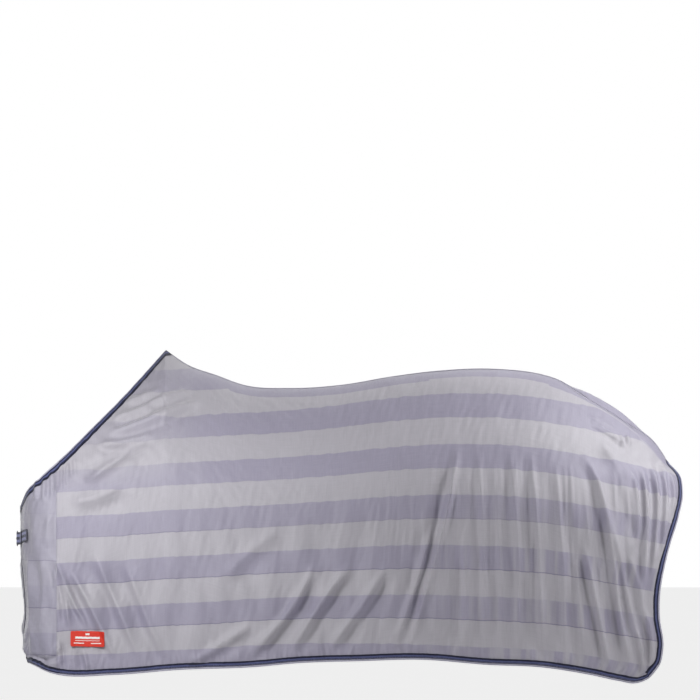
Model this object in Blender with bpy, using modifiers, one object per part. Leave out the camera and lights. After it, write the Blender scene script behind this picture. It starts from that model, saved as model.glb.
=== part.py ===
"""Horse fly sheet: two striped halves sewn along the spine, bound edges, chest panels and a snap closure.

+X points to the tail, -Y to the near side and +Z up. The origin lies under the spine, at the lowest
point of the horse's back. Every place on the cloth is a station s, measured round the chest and along
the body, and an arc r, measured over the back from the spine (or from where the spine line would run
above the neck hole). All sizes are in metres.
"""

import functools
import math

import bmesh
import bpy
import numpy as np
from mathutils import Matrix, Vector

# Overall sizes.
SHEET_LENGTH = 1.931  # front of the chest to the furthest point of the tail edge
HALF_WIDTH = 0.280  # spine to the widest part of one side
HEM_LEVEL = -0.790  # height of the hem at mid-length
BACK_ROUND = 0.400  # height over which the back turns from level to upright
CHEST_X = -0.787  # front of the chest

# Outlines along the length: (share of SHEET_LENGTH from the chest, height).
RIDGE = (
    (0.220, 0.111), (0.251, 0.070), (0.297, 0.037), (0.338, 0.009), (0.408, 0.000), (0.488, 0.010),
    (0.562, 0.034), (0.634, 0.051), (0.718, 0.056), (0.792, 0.038), (0.859, -0.013), (0.917, -0.083),
    (0.961, -0.164), (0.980, -0.220),
)
NECK = (
    (0.000, -0.345), (0.010, -0.302), (0.031, -0.260), (0.068, -0.196), (0.112, -0.111),
    (0.152, -0.034), (0.189, 0.044), (0.220, 0.111),
)
# Hem: (share of the length, height above HEM_LEVEL).
HEM = (
    (0.012, -0.010), (0.029, -0.026), (0.060, -0.041), (0.142, -0.041), (0.241, -0.026),
    (0.357, -0.017), (0.420, -0.006), (0.513, 0.000), (0.606, 0.004), (0.706, -0.011),
    (0.784, -0.018), (0.860, -0.041), (0.903, -0.059), (0.929, -0.066), (0.949, -0.051),
)
# Front and tail edges: (share of the height from their top to the hem, how far they move in x).
FRONT_EDGE = (
    (0.0, 0.002), (0.12, 0.003), (0.27, 0.003), (0.45, 0.010), (0.70, 0.015), (0.86, 0.011),
    (1.0, 0.024),
)
TAIL_EDGE = (
    (0.0, 0.0), (0.05, 0.029), (0.118, 0.038), (0.248, 0.025), (0.381, -0.001), (0.632, -0.031),
    (0.706, -0.031), (0.860, -0.021), (0.939, -0.032), (1.0, -0.061),
)
# Width of one side: (share of the length, share of HALF_WIDTH).
WIDTH = (
    (0.055, 0.860), (0.120, 0.865), (0.250, 0.940), (0.410, 1.000), (0.600, 1.020), (0.770, 0.985),
    (0.900, 0.860), (1.000, 0.690),
)
SEAM_SHARE = 0.0596  # seam between the chest panel and the body
WITHERS_SHARE = RIDGE[0][0]
DOCK_SHARE = RIDGE[-1][0]
TAIL_TURN_SHARE = 0.770  # where the uprights start to lean towards the tail edge
NECK_RISE = 0.6  # how much of the drop in front of the withers the spine line keeps above the hole
ROUND_POWER = 1.54  # roundness of the section over the back
CHEST_POWER = 2.6  # squareness of the chest in plan

# Cloth, tapes and the gaps between pieces.
CLOTH = 0.0015
BAND_WIDTH = 0.019  # binding, each side of the edge that it folds over
BAND_WALL = 0.0010
TAPE_WIDTH = 0.030  # spine tape
TAPE = 0.0010
GAP = 0.0004
BAND_GAP = 0.0009  # binding to the cloth inside it
SPINE_GAP = 0.0022  # between the two halves along the spine
FRONT_GAP = 0.0040  # between the two front edges
SEAM_GAP = 0.0016  # between a chest panel and the body

# Closure on the chest.
STRAP_Z = -0.437
STRAP_WIDTH = 0.036
STRAP = 0.0014
STRAP_CLEARANCE = 0.0009  # strap to cloth
STRAP_REACH = 0.180  # from the middle of the chest to the sewn end
STRAP_SETTLE = 0.022  # from the bar to where the strap meets the cloth
KEEPER_WIDTH = 0.024
KEEPER_REACH = 0.115
FOLD_BACK = 0.050  # length of the strap's second layer, past its loop
WIRE = 0.00175  # radius of the snap's eye and of the D-ring
AXIS_STANDOFF = 0.0095  # cloth to the middle of the snap and the ring
SNAP_BAR = 0.0745  # middle of the chest to the snap's bar
RING_BAR = 0.0420  # middle of the chest to the D-ring's bar
RING_DEPTH = 0.0260  # bar to the middle of the wire at the nose of the ring

# Snap hook, along its own axis from the bar.
EYE_LENGTH = 0.0150
EYE_SHOULDER = 0.0040  # bar to where the eye starts to narrow
EYE_ROOM = 0.0010  # beside the strap in the eye, and beside the keeper in the ring
BOSS_LENGTH = 0.0040
BOSS_RADIUS = 0.0040
BARREL_START = 0.0200
BARREL_LENGTH = 0.0220
BARREL_RADIUS = 0.0045
BARREL_END = 0.0030  # closed end of the barrel behind its bore
PIN_RADIUS = 0.0015
PIN_HEAD = 0.0020  # thickness of the pin's head, which has twice the pin's radius
BORE_RADIUS = 0.0018
BOLT_RADIUS = 0.0014
BOLT_OFFSET = 0.0012  # bolt above the snap's axis
BOLT_TRAVEL = 0.0045
SLOT_END = 0.0060  # front of the barrel to the end of the knob's slot
HOOK_WIRE = 0.0015
HOOK_RADIUS = 0.0052  # middle of the wire round the hook's bow
HOOK_CENTRE = 0.0570
HOOK_TURN = math.radians(220)
HOOK_ROOT = -0.0030  # where the hook leaves the barrel, below its axis
HOOK_BEAK = 0.0030  # where the bow turns down to its tip, above the axis
HOOK_TIP = 0.0052  # middle of the bow back to the tip that meets the bolt
KNOB_RADIUS = 0.0012
KNOB_HEIGHT = 0.0022  # above the barrel
SPRING_TURNS = 3
SPRING_PITCH = 0.00052  # when the bolt is drawn back
SPRING_RADIUS = 0.00105
SPRING_WIRE = 0.00022
SNAP_CLEARANCE = 0.0005

# Label and tail loops.
LABEL_SHARE = 0.0782
LABEL_LENGTH = 0.099
LABEL_WIDTH = 0.045
LABEL_Z = -0.7265
LABEL = 0.0008
LOOP_Z = -0.705
LOOP_WIDTH = 0.020
LOOP_LENGTH = 0.046
LOOP_ARCH = 0.024
LOOP_DEPTH = 0.014
LOOP_WALL = 0.0014
LOOP_INSET = 0.085  # tail edge to the middle of the loop

# Fineness of the plain solids.
NECK_COLUMNS = 10
NECK_CROWDING = 0.8  # below 1 the uprights stand closer together towards the withers
BACK_COLUMNS = 23
WITHERS_COLUMN = 0.024  # withers to the next upright behind them
NECK_STOP = 0.010  # withers to the end of the neck binding
MOST_SLANT = 1.12  # most that a slanting tail edge widens its binding along the stations
TAIL_COLUMN = 0.030  # tail edge to the last upright in front of its binding
CHEST_COLUMNS = 7
ROWS = 8
ROW_CROWDING = 1.35  # above 1 the rows lie closer together over the back
LABEL_COLUMNS = 6
STRAP_STEPS = 12
FOLD_STEPS = 5
BEND_STEPS = 8
ARCH_POWER = 0.7  # fullness of a tail loop's arch
BOW_STEPS = 12
COIL_STEPS = 10
ARC_SAMPLES = 160
PLAN_SAMPLES = 400
STEP = 1e-4  # step for slopes

HALF_CLOTH = CLOTH / 2
BAND_FACE = HALF_CLOTH + BAND_GAP + BAND_WALL  # middle of the cloth to the outer face of a binding
SEAM_X = CHEST_X + SEAM_SHARE * SHEET_LENGTH
WITHERS_X = CHEST_X + WITHERS_SHARE * SHEET_LENGTH
DOCK_X = CHEST_X + DOCK_SHARE * SHEET_LENGTH
TAIL_TURN_X = CHEST_X + TAIL_TURN_SHARE * SHEET_LENGTH

CLOTH_COLOUR = (0.47, 0.46, 0.49)
CHEST_COLOUR = (0.45, 0.44, 0.48)
NAVY = (0.018, 0.022, 0.075)
LILAC = (0.155, 0.170, 0.360)
LABEL_COLOUR = (0.560, 0.060, 0.030)
STEEL = (0.600, 0.600, 0.610)


# ---------------------------------------------------------------- outlines


def smooth(points, x):
    """Height at x of a smooth curve through the points."""
    xs, ys = np.array(points, float).T
    slopes = np.gradient(ys, xs)
    x = np.clip(x, xs[0], xs[-1])
    i = np.clip(np.searchsorted(xs, x) - 1, 0, len(xs) - 2)
    width = xs[i + 1] - xs[i]
    t = (x - xs[i]) / width
    start = (1 - t) ** 2 * ((1 + 2 * t) * ys[i] + t * width * slopes[i])
    end = t * t * ((3 - 2 * t) * ys[i + 1] + (t - 1) * width * slopes[i + 1])
    return start + end


def share_of(x):
    return (x - CHEST_X) / SHEET_LENGTH


def top_z(x):
    """Height of the upper edge of one side: the neck edge, then the spine."""
    outline = NECK if x < WITHERS_X else RIDGE
    return float(smooth(outline, share_of(x)))


def hem_z(x):
    return HEM_LEVEL + float(smooth(HEM, share_of(x)))


def half_width(x):
    return HALF_WIDTH * smooth(WIDTH, share_of(x))


def spine_z(x):
    """Height of the spine line, which runs on above the neck hole."""
    top = top_z(x)
    return top + NECK_RISE * max(top_z(WITHERS_X) - top, 0.0) * (x < WITHERS_X)


def arc_lengths(points):
    return np.concatenate([[0.0], np.cumsum(np.linalg.norm(np.diff(points, axis=0), axis=1))])


def section(x, bottom):
    """(share of the half width, height) down one side at x, from the spine line to the height bottom."""
    turn = np.linspace(0, math.pi / 2, ARC_SAMPLES // 2)
    height = spine_z(x) - BACK_ROUND * (1 - np.cos(turn))
    drop = np.linspace(height[-1], bottom, ARC_SAMPLES // 2 + 1)[1:]
    return np.append(np.sin(turn) ** ROUND_POWER, np.ones(len(drop))), np.append(height, drop)


# ------------------------------------------------- the cloth as a surface


def chest_plan():
    """(stations, angles) round the chest, from the front edge to the seam."""
    side = half_width(SEAM_X)
    start = math.asin((FRONT_GAP / 2 / side) ** (CHEST_POWER / 2))
    angles = np.linspace(start, math.pi / 2, PLAN_SAMPLES)
    x = (SEAM_X - CHEST_X) * np.cos(angles).clip(0) ** (2 / CHEST_POWER)
    y = side * np.sin(angles) ** (2 / CHEST_POWER)
    return arc_lengths(np.column_stack([x, y])), angles


PLAN_STATIONS, PLAN_ANGLES = chest_plan()
SEAM_S = float(PLAN_STATIONS[-1])
WITHERS_S = SEAM_S + WITHERS_X - SEAM_X
END_S = SEAM_S + DOCK_X - SEAM_X
SEAM_SHARES, SEAM_HEIGHTS = section(SEAM_X, HEM_LEVEL - BACK_ROUND)
SEAM_WIDTHS = half_width(SEAM_X) * SEAM_SHARES
SEAM_ARCS = arc_lengths(np.column_stack([SEAM_WIDTHS, SEAM_HEIGHTS]))


def chest_turn(s):
    """(forward share, sideways share) round the chest at station s."""
    angle = float(np.interp(s, PLAN_STATIONS, PLAN_ANGLES))
    return max(math.cos(angle), 0.0) ** (2 / CHEST_POWER), math.sin(angle) ** (2 / CHEST_POWER)


def chest_x(s):
    return SEAM_X - (SEAM_X - CHEST_X) * chest_turn(s)[0]


def chest_column(s):
    """(arcs, points) down the near side of the chest at station s."""
    forward, sideways = chest_turn(s)
    top, hem = top_z(CHEST_X), hem_z(CHEST_X)
    offset = smooth(FRONT_EDGE, (top - SEAM_HEIGHTS) / (top - hem))
    x = SEAM_X - (SEAM_X - CHEST_X - offset) * forward
    return SEAM_ARCS, np.column_stack([x, -SEAM_WIDTHS * sideways, SEAM_HEIGHTS])


def tail_lean(x):
    """How far the upright at x follows the tail edge, from 0 to 1."""
    t = min(max((x - TAIL_TURN_X) / (DOCK_X - TAIL_TURN_X), 0.0), 1.0)
    return t * t * (3 - 2 * t)


def body_hem_z(x):
    return hem_z(x + tail_lean(x) * TAIL_EDGE[-1][1])


def body_column(s):
    """(arcs, points) down the near side of the body at station s."""
    x = SEAM_X + s - SEAM_S
    bottom = body_hem_z(x)
    shares, heights = section(x, bottom)
    dock = top_z(DOCK_X)
    lean = tail_lean(x) * smooth(TAIL_EDGE, (dock - heights) / (dock - bottom))
    widths = half_width(x + lean) * shares
    arcs = arc_lengths(np.column_stack([widths, heights]))
    return arcs, np.column_stack([x + lean, -widths, heights])


@functools.lru_cache(maxsize=None)
def column(s):
    return chest_column(s) if s < SEAM_S else body_column(s)


def cloth_point(s, r):
    arcs, points = column(min(max(s, 0.0), END_S))
    return np.array([np.interp(r, arcs, points[:, axis]) for axis in range(3)])


def edge_arcs(s):
    """(arc of the upper edge, arc of the hem) at station s."""
    arcs, points = column(s)
    if s < SEAM_S:
        top, hem = top_z(chest_x(s)), hem_z(chest_x(s))
    else:
        x = SEAM_X + s - SEAM_S
        top, hem = top_z(x), body_hem_z(x)
    return tuple(float(np.interp(-height, -points[:, 2], arcs)) for height in (top, hem))


def slopes(s, r):
    """Directions along the stations and down the arcs."""
    low, high = max(s - STEP, 0.0), min(s + STEP, END_S)
    if low < SEAM_S <= high:
        low, high = (SEAM_S, high) if s >= SEAM_S else (low, SEAM_S - STEP)
    along = (cloth_point(high, r) - cloth_point(low, r)) / (high - low)
    start = max(r - STEP, 0.0)
    down = (cloth_point(s, r + STEP) - cloth_point(s, start)) / (r + STEP - start)
    return along, down


def at(s, r, lift, side):
    """The point on the near (-1) or far (+1) side, lifted outwards from the middle of the cloth."""
    along, down = slopes(s, r)
    outward = np.cross(down, along)
    outward *= math.copysign(1, -outward[1]) / np.linalg.norm(outward)
    point = cloth_point(s, r) + lift * outward
    return Vector((point[0], -side * point[1], point[2]))


def arc_at_height(s, height):
    arcs, points = column(s)
    return float(np.interp(-height, -points[:, 2], arcs))


def top_edge_reach(s, distance):
    """Arc to go down from the upper edge to be this far from it, square to the edge."""
    step = 0.002
    low, high = max(s - step, SEAM_S if s >= SEAM_S else 0.0), s
    if high - low < step / 2:
        low, high = s, s + step
    edge = cloth_point(high, edge_arcs(high)[0]) - cloth_point(low, edge_arcs(low)[0])
    down = slopes(s, edge_arcs(s)[0] + STEP)[1]
    sine = np.linalg.norm(np.cross(edge, down)) / np.linalg.norm(edge) / np.linalg.norm(down)
    return distance / sine


def tail_reach(r, distance):
    """Stations to go forward from the tail edge to be this far from it, a little less at its corner."""
    along, down = slopes(END_S, r)
    return distance * min(np.linalg.norm(down) / np.linalg.norm(np.cross(along, down)), MOST_SLANT)


# ------------------------------------------------------------- modelling


def clear_scene():
    for obj in list(bpy.data.objects):
        bpy.data.objects.remove(obj, do_unlink=True)


def new_collection(name):
    collection = bpy.data.collections.new(name)
    bpy.context.scene.collection.children.link(collection)
    return collection


def material(name, colour, roughness, metallic=0.0, sheen=0.0):
    result = bpy.data.materials.new(name)
    result.use_nodes = True
    shader = result.node_tree.nodes["Principled BSDF"]
    shader.inputs["Base Color"].default_value = (*colour, 1)
    shader.inputs["Roughness"].default_value = roughness
    shader.inputs["Metallic"].default_value = metallic
    shader.inputs["Sheen Weight"].default_value = sheen
    return result


def add_object(name, mesh, collection, look=None):
    obj = bpy.data.objects.new(name, mesh)
    collection.objects.link(obj)
    if look:
        mesh.materials.append(look)
    return obj


def fold_outwards(bm):
    """Splits each quad so that it bulges outwards, as the cloth inside a binding does too."""
    for face in list(bm.faces):
        a, b, c, d = face.verts
        centre = face.calc_center_median()
        outward = centre - Vector((max(centre.x, SEAM_X), 0, STRAP_Z))
        first_bulges = ((a.co + c.co) - (b.co + d.co)).dot(outward) > 0
        bmesh.utils.face_split(face, *((a, c) if first_bulges else (b, d)))


def bent_sheet(name, columns, rows, where, thickness, collection, look):
    """A grid bent to where(column, row), made solid about its middle."""
    bm = bmesh.new()
    bmesh.ops.create_grid(bm, x_segments=columns, y_segments=rows, size=0.5)
    for vert in bm.verts:
        vert.co = where(round((vert.co.x + 0.5) * columns), round((vert.co.y + 0.5) * rows))
    fold_outwards(bm)
    mesh = bpy.data.meshes.new(name)
    bm.to_mesh(mesh)
    bm.free()
    obj = add_object(name, mesh, collection, look)
    shell = obj.modifiers.new("thickness", "SOLIDIFY")
    shell.thickness = thickness
    shell.offset = 0
    shell.use_even_offset = True
    return obj


def cylinder(name, radius, start, end, collection, look=None, sides=20):
    """A cylinder between two points."""
    start, end = Vector(start), Vector(end)
    bm = bmesh.new()
    bmesh.ops.create_cone(
        bm, cap_ends=True, segments=sides, radius1=radius, radius2=radius, depth=(end - start).length
    )
    turn = (end - start).to_track_quat("Z", "Y").to_matrix().to_4x4()
    bmesh.ops.transform(bm, matrix=Matrix.Translation((start + end) / 2) @ turn, verts=bm.verts)
    mesh = bpy.data.meshes.new(name)
    bm.to_mesh(mesh)
    bm.free()
    return add_object(name, mesh, collection, look)


def box(name, low, high, collection, look=None):
    low, high = Vector(low), Vector(high)
    bm = bmesh.new()
    bmesh.ops.create_cube(bm, size=1)
    matrix = Matrix.Translation((low + high) / 2) @ Matrix.Diagonal((*(high - low), 1))
    bmesh.ops.transform(bm, matrix=matrix, verts=bm.verts)
    mesh = bpy.data.meshes.new(name)
    bm.to_mesh(mesh)
    bm.free()
    return add_object(name, mesh, collection, look)


def wire(name, points, radius, collection, look, closed=False):
    """A bent wire as a closed mesh: a polyline with a round bevel and filled caps."""
    curve = bpy.data.curves.new(name, "CURVE")
    curve.dimensions = "3D"
    curve.bevel_depth = radius
    curve.bevel_resolution = 2
    curve.use_fill_caps = not closed
    spline = curve.splines.new("POLY")
    spline.points.add(len(points) - 1)
    for target, point in zip(spline.points, points):
        target.co = (*point, 1)
    spline.use_cyclic_u = closed
    source = bpy.data.objects.new(name + "_curve", curve)
    collection.objects.link(source)
    bpy.context.view_layer.update()
    evaluated = source.evaluated_get(bpy.context.evaluated_depsgraph_get())
    mesh = bpy.data.meshes.new_from_object(evaluated)
    bpy.data.objects.remove(source)
    bm = bmesh.new()
    bm.from_mesh(mesh)
    bmesh.ops.remove_doubles(bm, verts=bm.verts, dist=0.00002)
    bm.to_mesh(mesh)
    bm.free()
    mesh.name = name
    return add_object(name, mesh, collection, look)


def boolean(obj, operation, other):
    other.hide_render = True
    other.display_type = "WIRE"
    cut = obj.modifiers.new(other.name, "BOOLEAN")
    cut.operation = operation
    cut.object = other


def shade_round(obj):
    obj.data.shade_smooth()
    obj.data.set_sharp_from_angle(angle=math.radians(40))


def hang_on_axis(objects, name, place, collection):
    """Parents the pieces to an empty on their joint's axis, leaving them where they are."""
    empty = bpy.data.objects.new(name, None)
    empty.location = place
    empty.empty_display_size = 0.02
    collection.objects.link(empty)
    for obj in objects:
        obj.parent = empty
        obj.matrix_parent_inverse = Matrix.Translation(-Vector(place))


# ----------------------------------------------------------- cloth pieces


def body_stations():
    """Stations of the uprights between the seam and the tail binding."""
    share = np.linspace(0, 1, NECK_COLUMNS) ** NECK_CROWDING
    first = SEAM_S + SEAM_GAP / 2
    neck = first + (WITHERS_S - NECK_STOP - first) * share
    back = np.linspace(WITHERS_S + WITHERS_COLUMN, END_S - TAIL_COLUMN, BACK_COLUMNS)
    return [*neck, *back]


def chest_stations():
    """Stations from the front binding to the seam."""
    return list(np.linspace(BAND_WIDTH, SEAM_S - SEAM_GAP / 2, CHEST_COLUMNS))


def upper_arcs(s):
    """(edge of the cloth, second row): inside the neck binding, or beside the spine."""
    if s > WITHERS_S:
        return SPINE_GAP / 2, TAPE_WIDTH / 2
    edge = edge_arcs(s)[0]
    return edge + top_edge_reach(s, BAND_WALL + BAND_GAP), edge + top_edge_reach(s, BAND_WIDTH)


def row_arc(s, row):
    """Arc of a row of the grid at station s: closer together over the back."""
    first, second = upper_arcs(s)
    hem = edge_arcs(s)[1]
    last = ROWS + 2
    if row <= 1:
        return (first, second)[row]
    if row >= last - 1:
        return hem - (BAND_WIDTH if row == last - 1 else BAND_WALL + BAND_GAP)
    share = (row - 1) / (last - 2)
    return second + (hem - BAND_WIDTH - second) * share**ROW_CROWDING


def body_panel(name, side, collection, look):
    """One half of the body, from the chest seam to the tail edge and from the spine to the hem."""
    stations = body_stations()
    last = len(stations) + 1

    def where(i, j):
        if i < len(stations):
            return at(stations[i], row_arc(stations[i], j), 0, side)
        return beside_tail(j, BAND_WIDTH if i < last else BAND_WALL + BAND_GAP, 0, side)

    return bent_sheet(name, last, ROWS + 2, where, CLOTH, collection, look)


def chest_panel(name, side, collection, look):
    """A chest panel, from the front edge to its seam."""
    stations = [BAND_WALL + BAND_GAP, *chest_stations()]

    def where(i, j):
        return at(stations[i], row_arc(stations[i], j), 0, side)

    return bent_sheet(name, len(stations) - 1, ROWS + 2, where, CLOTH, collection, look)


def fold_line():
    """The corners of a binding's middle line, as (distance from the edge, lift)."""
    lift = HALF_CLOTH + BAND_GAP + BAND_WALL / 2
    return (BAND_WIDTH, lift), (BAND_WALL / 2, lift), (BAND_WALL / 2, -lift), (BAND_WIDTH, -lift)


FOLD = fold_line()


def top_binding(name, stations, side, collection, look):
    """Binding folded over the neck edge."""

    def where(i, j):
        distance, lift = FOLD[j]
        s = stations[i]
        return at(s, edge_arcs(s)[0] + top_edge_reach(s, distance), lift, side)

    return bent_sheet(name, len(stations) - 1, 3, where, BAND_WALL, collection, look)


def hem_binding(name, stations, side, collection, look):
    """Binding folded over the hem."""

    def where(i, j):
        distance, lift = FOLD[j]
        return at(stations[i], edge_arcs(stations[i])[1] - distance, lift, side)

    return bent_sheet(name, len(stations) - 1, 3, where, BAND_WALL, collection, look)


def beside_tail(row, distance, lift, side):
    """The point on a row of the grid at this distance from the tail edge."""
    s = END_S - tail_reach(row_arc(END_S, row), distance)
    return at(s, row_arc(s, row), lift, side)


def front_binding(name, side, collection, look):
    def where(i, j):
        distance, lift = FOLD[j]
        return at(distance, row_arc(distance, i), lift, side)

    return bent_sheet(name, ROWS + 2, 3, where, BAND_WALL, collection, look)


def tail_binding(name, side, collection, look):
    """Binding down the tail edge, from the dock to the hem's corner."""

    def where(i, j):
        distance, lift = FOLD[j]
        return beside_tail(i, distance, lift, side)

    return bent_sheet(name, ROWS + 2, 3, where, BAND_WALL, collection, look)


def spine_tape(collection, look):
    """Tape sewn under the spine seam, in front of the tail binding."""
    stations = [s for s in body_stations() if s > WITHERS_S]
    stations.append(END_S - BAND_WIDTH - GAP)
    lift = -(HALF_CLOTH + GAP + TAPE / 2)

    def where(i, j):
        if j == 1:
            middle = at(stations[i], STEP, lift, -1)
            return Vector((middle.x, 0, middle.z))
        return at(stations[i], TAPE_WIDTH / 2, lift, -1 if j == 0 else 1)

    return bent_sheet("spine_tape", len(stations) - 1, 2, where, TAPE, collection, look)


def side_label(collection, look):
    start = SEAM_S + (LABEL_SHARE - SEAM_SHARE) * SHEET_LENGTH
    lift = HALF_CLOTH + 2 * GAP + LABEL / 2

    def where(i, j):
        s = start + LABEL_LENGTH * i / LABEL_COLUMNS
        height = LABEL_Z + LABEL_WIDTH * (j / 2 - 0.5)
        return at(s, arc_at_height(s, height), lift, -1)

    return bent_sheet("side_label", LABEL_COLUMNS, 2, where, LABEL, collection, look)


def tail_loop(name, side, collection, look):
    """A webbing loop inside the tail edge: a bowed strip with its ends flat against the cloth."""
    foot, arch = LOOP_LENGTH / 2, LOOP_ARCH / 2
    profile = [(-foot, 0), (-arch, 0)]
    for step in range(1, BEND_STEPS):
        angle = math.pi * step / BEND_STEPS
        profile.append((-arch * math.cos(angle), LOOP_DEPTH * math.sin(angle) ** ARCH_POWER))
    profile += [(arch, 0), (foot, 0)]

    def where(i, j):
        down, depth = profile[i]
        lift = -(HALF_CLOTH + 3 * GAP + LOOP_WALL / 2 + depth)
        s = END_S - LOOP_INSET + LOOP_WIDTH * (j - 0.5)
        return at(s, arc_at_height(s, LOOP_Z - down), lift, side)

    return bent_sheet(name, len(profile) - 1, 1, where, LOOP_WALL, collection, look)


# --------------------------------------------------------------- closure


def chest_face_x(distance):
    """Where the middle of the chest cloth lies at the strap's height, this far from the middle."""
    stations = np.linspace(0, SEAM_S - SEAM_GAP, ARC_SAMPLES)
    points = np.array([cloth_point(s, arc_at_height(s, STRAP_Z)) for s in stations])
    return np.interp(distance, -points[:, 1], points[:, 0])


def axis_x():
    """The snap and the ring lie in front of the front bindings."""
    return float(chest_face_x(0.0)) - AXIS_STANDOFF


def looped_strap(name, side, bar, reach, width, collection, look):
    """A strap sewn to the chest that folds round a bar and back onto itself."""
    lift = HALF_CLOTH + STRAP_CLEARANCE + STRAP / 2
    radius = WIRE + GAP + STRAP / 2
    settle = bar + STRAP_SETTLE
    under = [(d, lift) for d in np.linspace(reach, settle, STRAP_STEPS)]
    over = [(d, lift + STRAP + GAP) for d in np.linspace(settle, bar + FOLD_BACK, FOLD_STEPS)]
    path = [(chest_face_x(d) - up, d) for d, up in under]
    for step in range(BEND_STEPS + 1):
        angle = math.pi * step / BEND_STEPS
        path.append((axis_x() + radius * math.cos(angle), bar - radius * math.sin(angle)))
    path += [(chest_face_x(d) - up, d) for d, up in over]

    def where(i, j):
        x, distance = path[i]
        return Vector((x, side * distance, STRAP_Z + width * (j - 0.5)))

    return bent_sheet(name, len(path) - 1, 1, where, STRAP, collection, look)


def along_snap(distance, up=0.0):
    """A point on the snap: distance from its bar towards the middle of the chest, and a height."""
    return Vector((axis_x(), -SNAP_BAR + distance, STRAP_Z + up))


def snap_eye(collection, cutters, look):
    """Wide wire eye for the strap, with a boss that the hook swivels in."""
    wide, narrow = STRAP_WIDTH / 2 + WIRE + EYE_ROOM, BARREL_RADIUS
    upper = [(0, wide), (EYE_SHOULDER, wide), (EYE_LENGTH, narrow)]
    shape = upper + [(distance, -up) for distance, up in reversed(upper)]
    eye = wire("snap_eye", [along_snap(*point) for point in shape], WIRE, collection, look, closed=True)
    start, end = EYE_LENGTH - BOSS_LENGTH / 2, EYE_LENGTH + BOSS_LENGTH / 2
    boss = cylinder("boss", BOSS_RADIUS, along_snap(start), along_snap(end), cutters)
    past_start, past_end = along_snap(start - BOSS_LENGTH / 2), along_snap(end + BOSS_LENGTH / 2)
    hole = cylinder("boss_hole", PIN_RADIUS + GAP, past_start, past_end, cutters)
    boolean(eye, "UNION", boss)
    boolean(eye, "DIFFERENCE", hole)
    return eye


def hook_route():
    """The hook's wire: out of the barrel, round the bow and back to meet the bolt."""
    front = BARREL_START + BARREL_LENGTH
    route = [(front - HOOK_WIRE, HOOK_ROOT), (front + 2 * HOOK_WIRE, HOOK_ROOT - HOOK_WIRE / 4)]
    for step in range(BOW_STEPS + 1):
        angle = HOOK_TURN * (step / BOW_STEPS - 0.5)
        route.append((HOOK_CENTRE + HOOK_RADIUS * math.cos(angle), HOOK_RADIUS * math.sin(angle)))
    route.append((HOOK_CENTRE - HOOK_TIP + 0.4 * HOOK_WIRE, HOOK_BEAK))
    route.append((HOOK_CENTRE - HOOK_TIP, BOLT_OFFSET))
    return [along_snap(*point) for point in route]


def snap_hook(collection, cutters, look):
    """Barrel with a swivel pin at one end and the hook at the other, bored for the bolt."""
    front = BARREL_START + BARREL_LENGTH
    hook = wire("snap_hook", hook_route(), HOOK_WIRE, collection, look)
    barrel = cylinder("barrel", BARREL_RADIUS, along_snap(BARREL_START), along_snap(front), cutters)
    head_end = EYE_LENGTH - BOSS_LENGTH / 2 - SNAP_CLEARANCE
    head_start = along_snap(head_end - PIN_HEAD)
    pin = cylinder("pin", PIN_RADIUS, head_start, along_snap(BARREL_START + BARREL_END / 3), cutters)
    head = cylinder("pin_head", PIN_RADIUS * 2, head_start, along_snap(head_end), cutters)
    bore_start = along_snap(BARREL_START + BARREL_END, BOLT_OFFSET)
    bore = cylinder("bore", BORE_RADIUS, bore_start, along_snap(front + BORE_RADIUS, BOLT_OFFSET), cutters)
    for solid in (barrel, pin, head):
        boolean(hook, "UNION", solid)
    for cut in (bore, knob_slot(cutters)):
        boolean(hook, "DIFFERENCE", cut)
    return hook


def knob_slot(cutters):
    """Slot over the bore in which the knob travels."""
    room = Vector((KNOB_RADIUS + GAP, 0, 0))
    end = BARREL_START + BARREL_LENGTH - SLOT_END
    start = end - BOLT_TRAVEL - 2 * KNOB_RADIUS - 3 * GAP
    low, high = along_snap(start, BOLT_OFFSET), along_snap(end, BARREL_RADIUS * 2)
    return box("slot", low - room, high + room, cutters)


def spring_span():
    """(middle of the first turn's wire, far end of the coil), along the snap."""
    start = BARREL_START + BARREL_END + GAP + SPRING_WIRE
    return start, start + SPRING_TURNS * SPRING_PITCH + SPRING_WIRE


def snap_bolt(collection, cutters, look):
    """Sliding bolt with the thumb knob that stands out of the slot."""
    rear = along_snap(spring_span()[1] + GAP + BOLT_TRAVEL, BOLT_OFFSET)
    tip = along_snap(HOOK_CENTRE - HOOK_TIP - HOOK_WIRE - GAP, BOLT_OFFSET)
    bolt = cylinder("snap_bolt", BOLT_RADIUS, rear, tip, collection, look)
    place = BARREL_START + BARREL_LENGTH - SLOT_END - KNOB_RADIUS - GAP
    root, top = along_snap(place, BOLT_OFFSET), along_snap(place, BARREL_RADIUS + KNOB_HEIGHT)
    knob = cylinder("knob", KNOB_RADIUS, root, top, cutters, sides=12)
    boolean(bolt, "UNION", knob)
    return bolt


def snap_spring(collection, look):
    """Coil behind the bolt, at the length that it is pressed to when the bolt is drawn back."""
    start = spring_span()[0]
    points = []
    for step in range(SPRING_TURNS * COIL_STEPS + 1):
        angle = 2 * math.pi * step / COIL_STEPS
        along = start + SPRING_PITCH * step / COIL_STEPS
        place = along_snap(along, BOLT_OFFSET + SPRING_RADIUS * math.sin(angle))
        points.append(place + Vector((SPRING_RADIUS * math.cos(angle), 0, 0)))
    return wire("snap_spring", points, SPRING_WIRE, collection, look)


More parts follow.
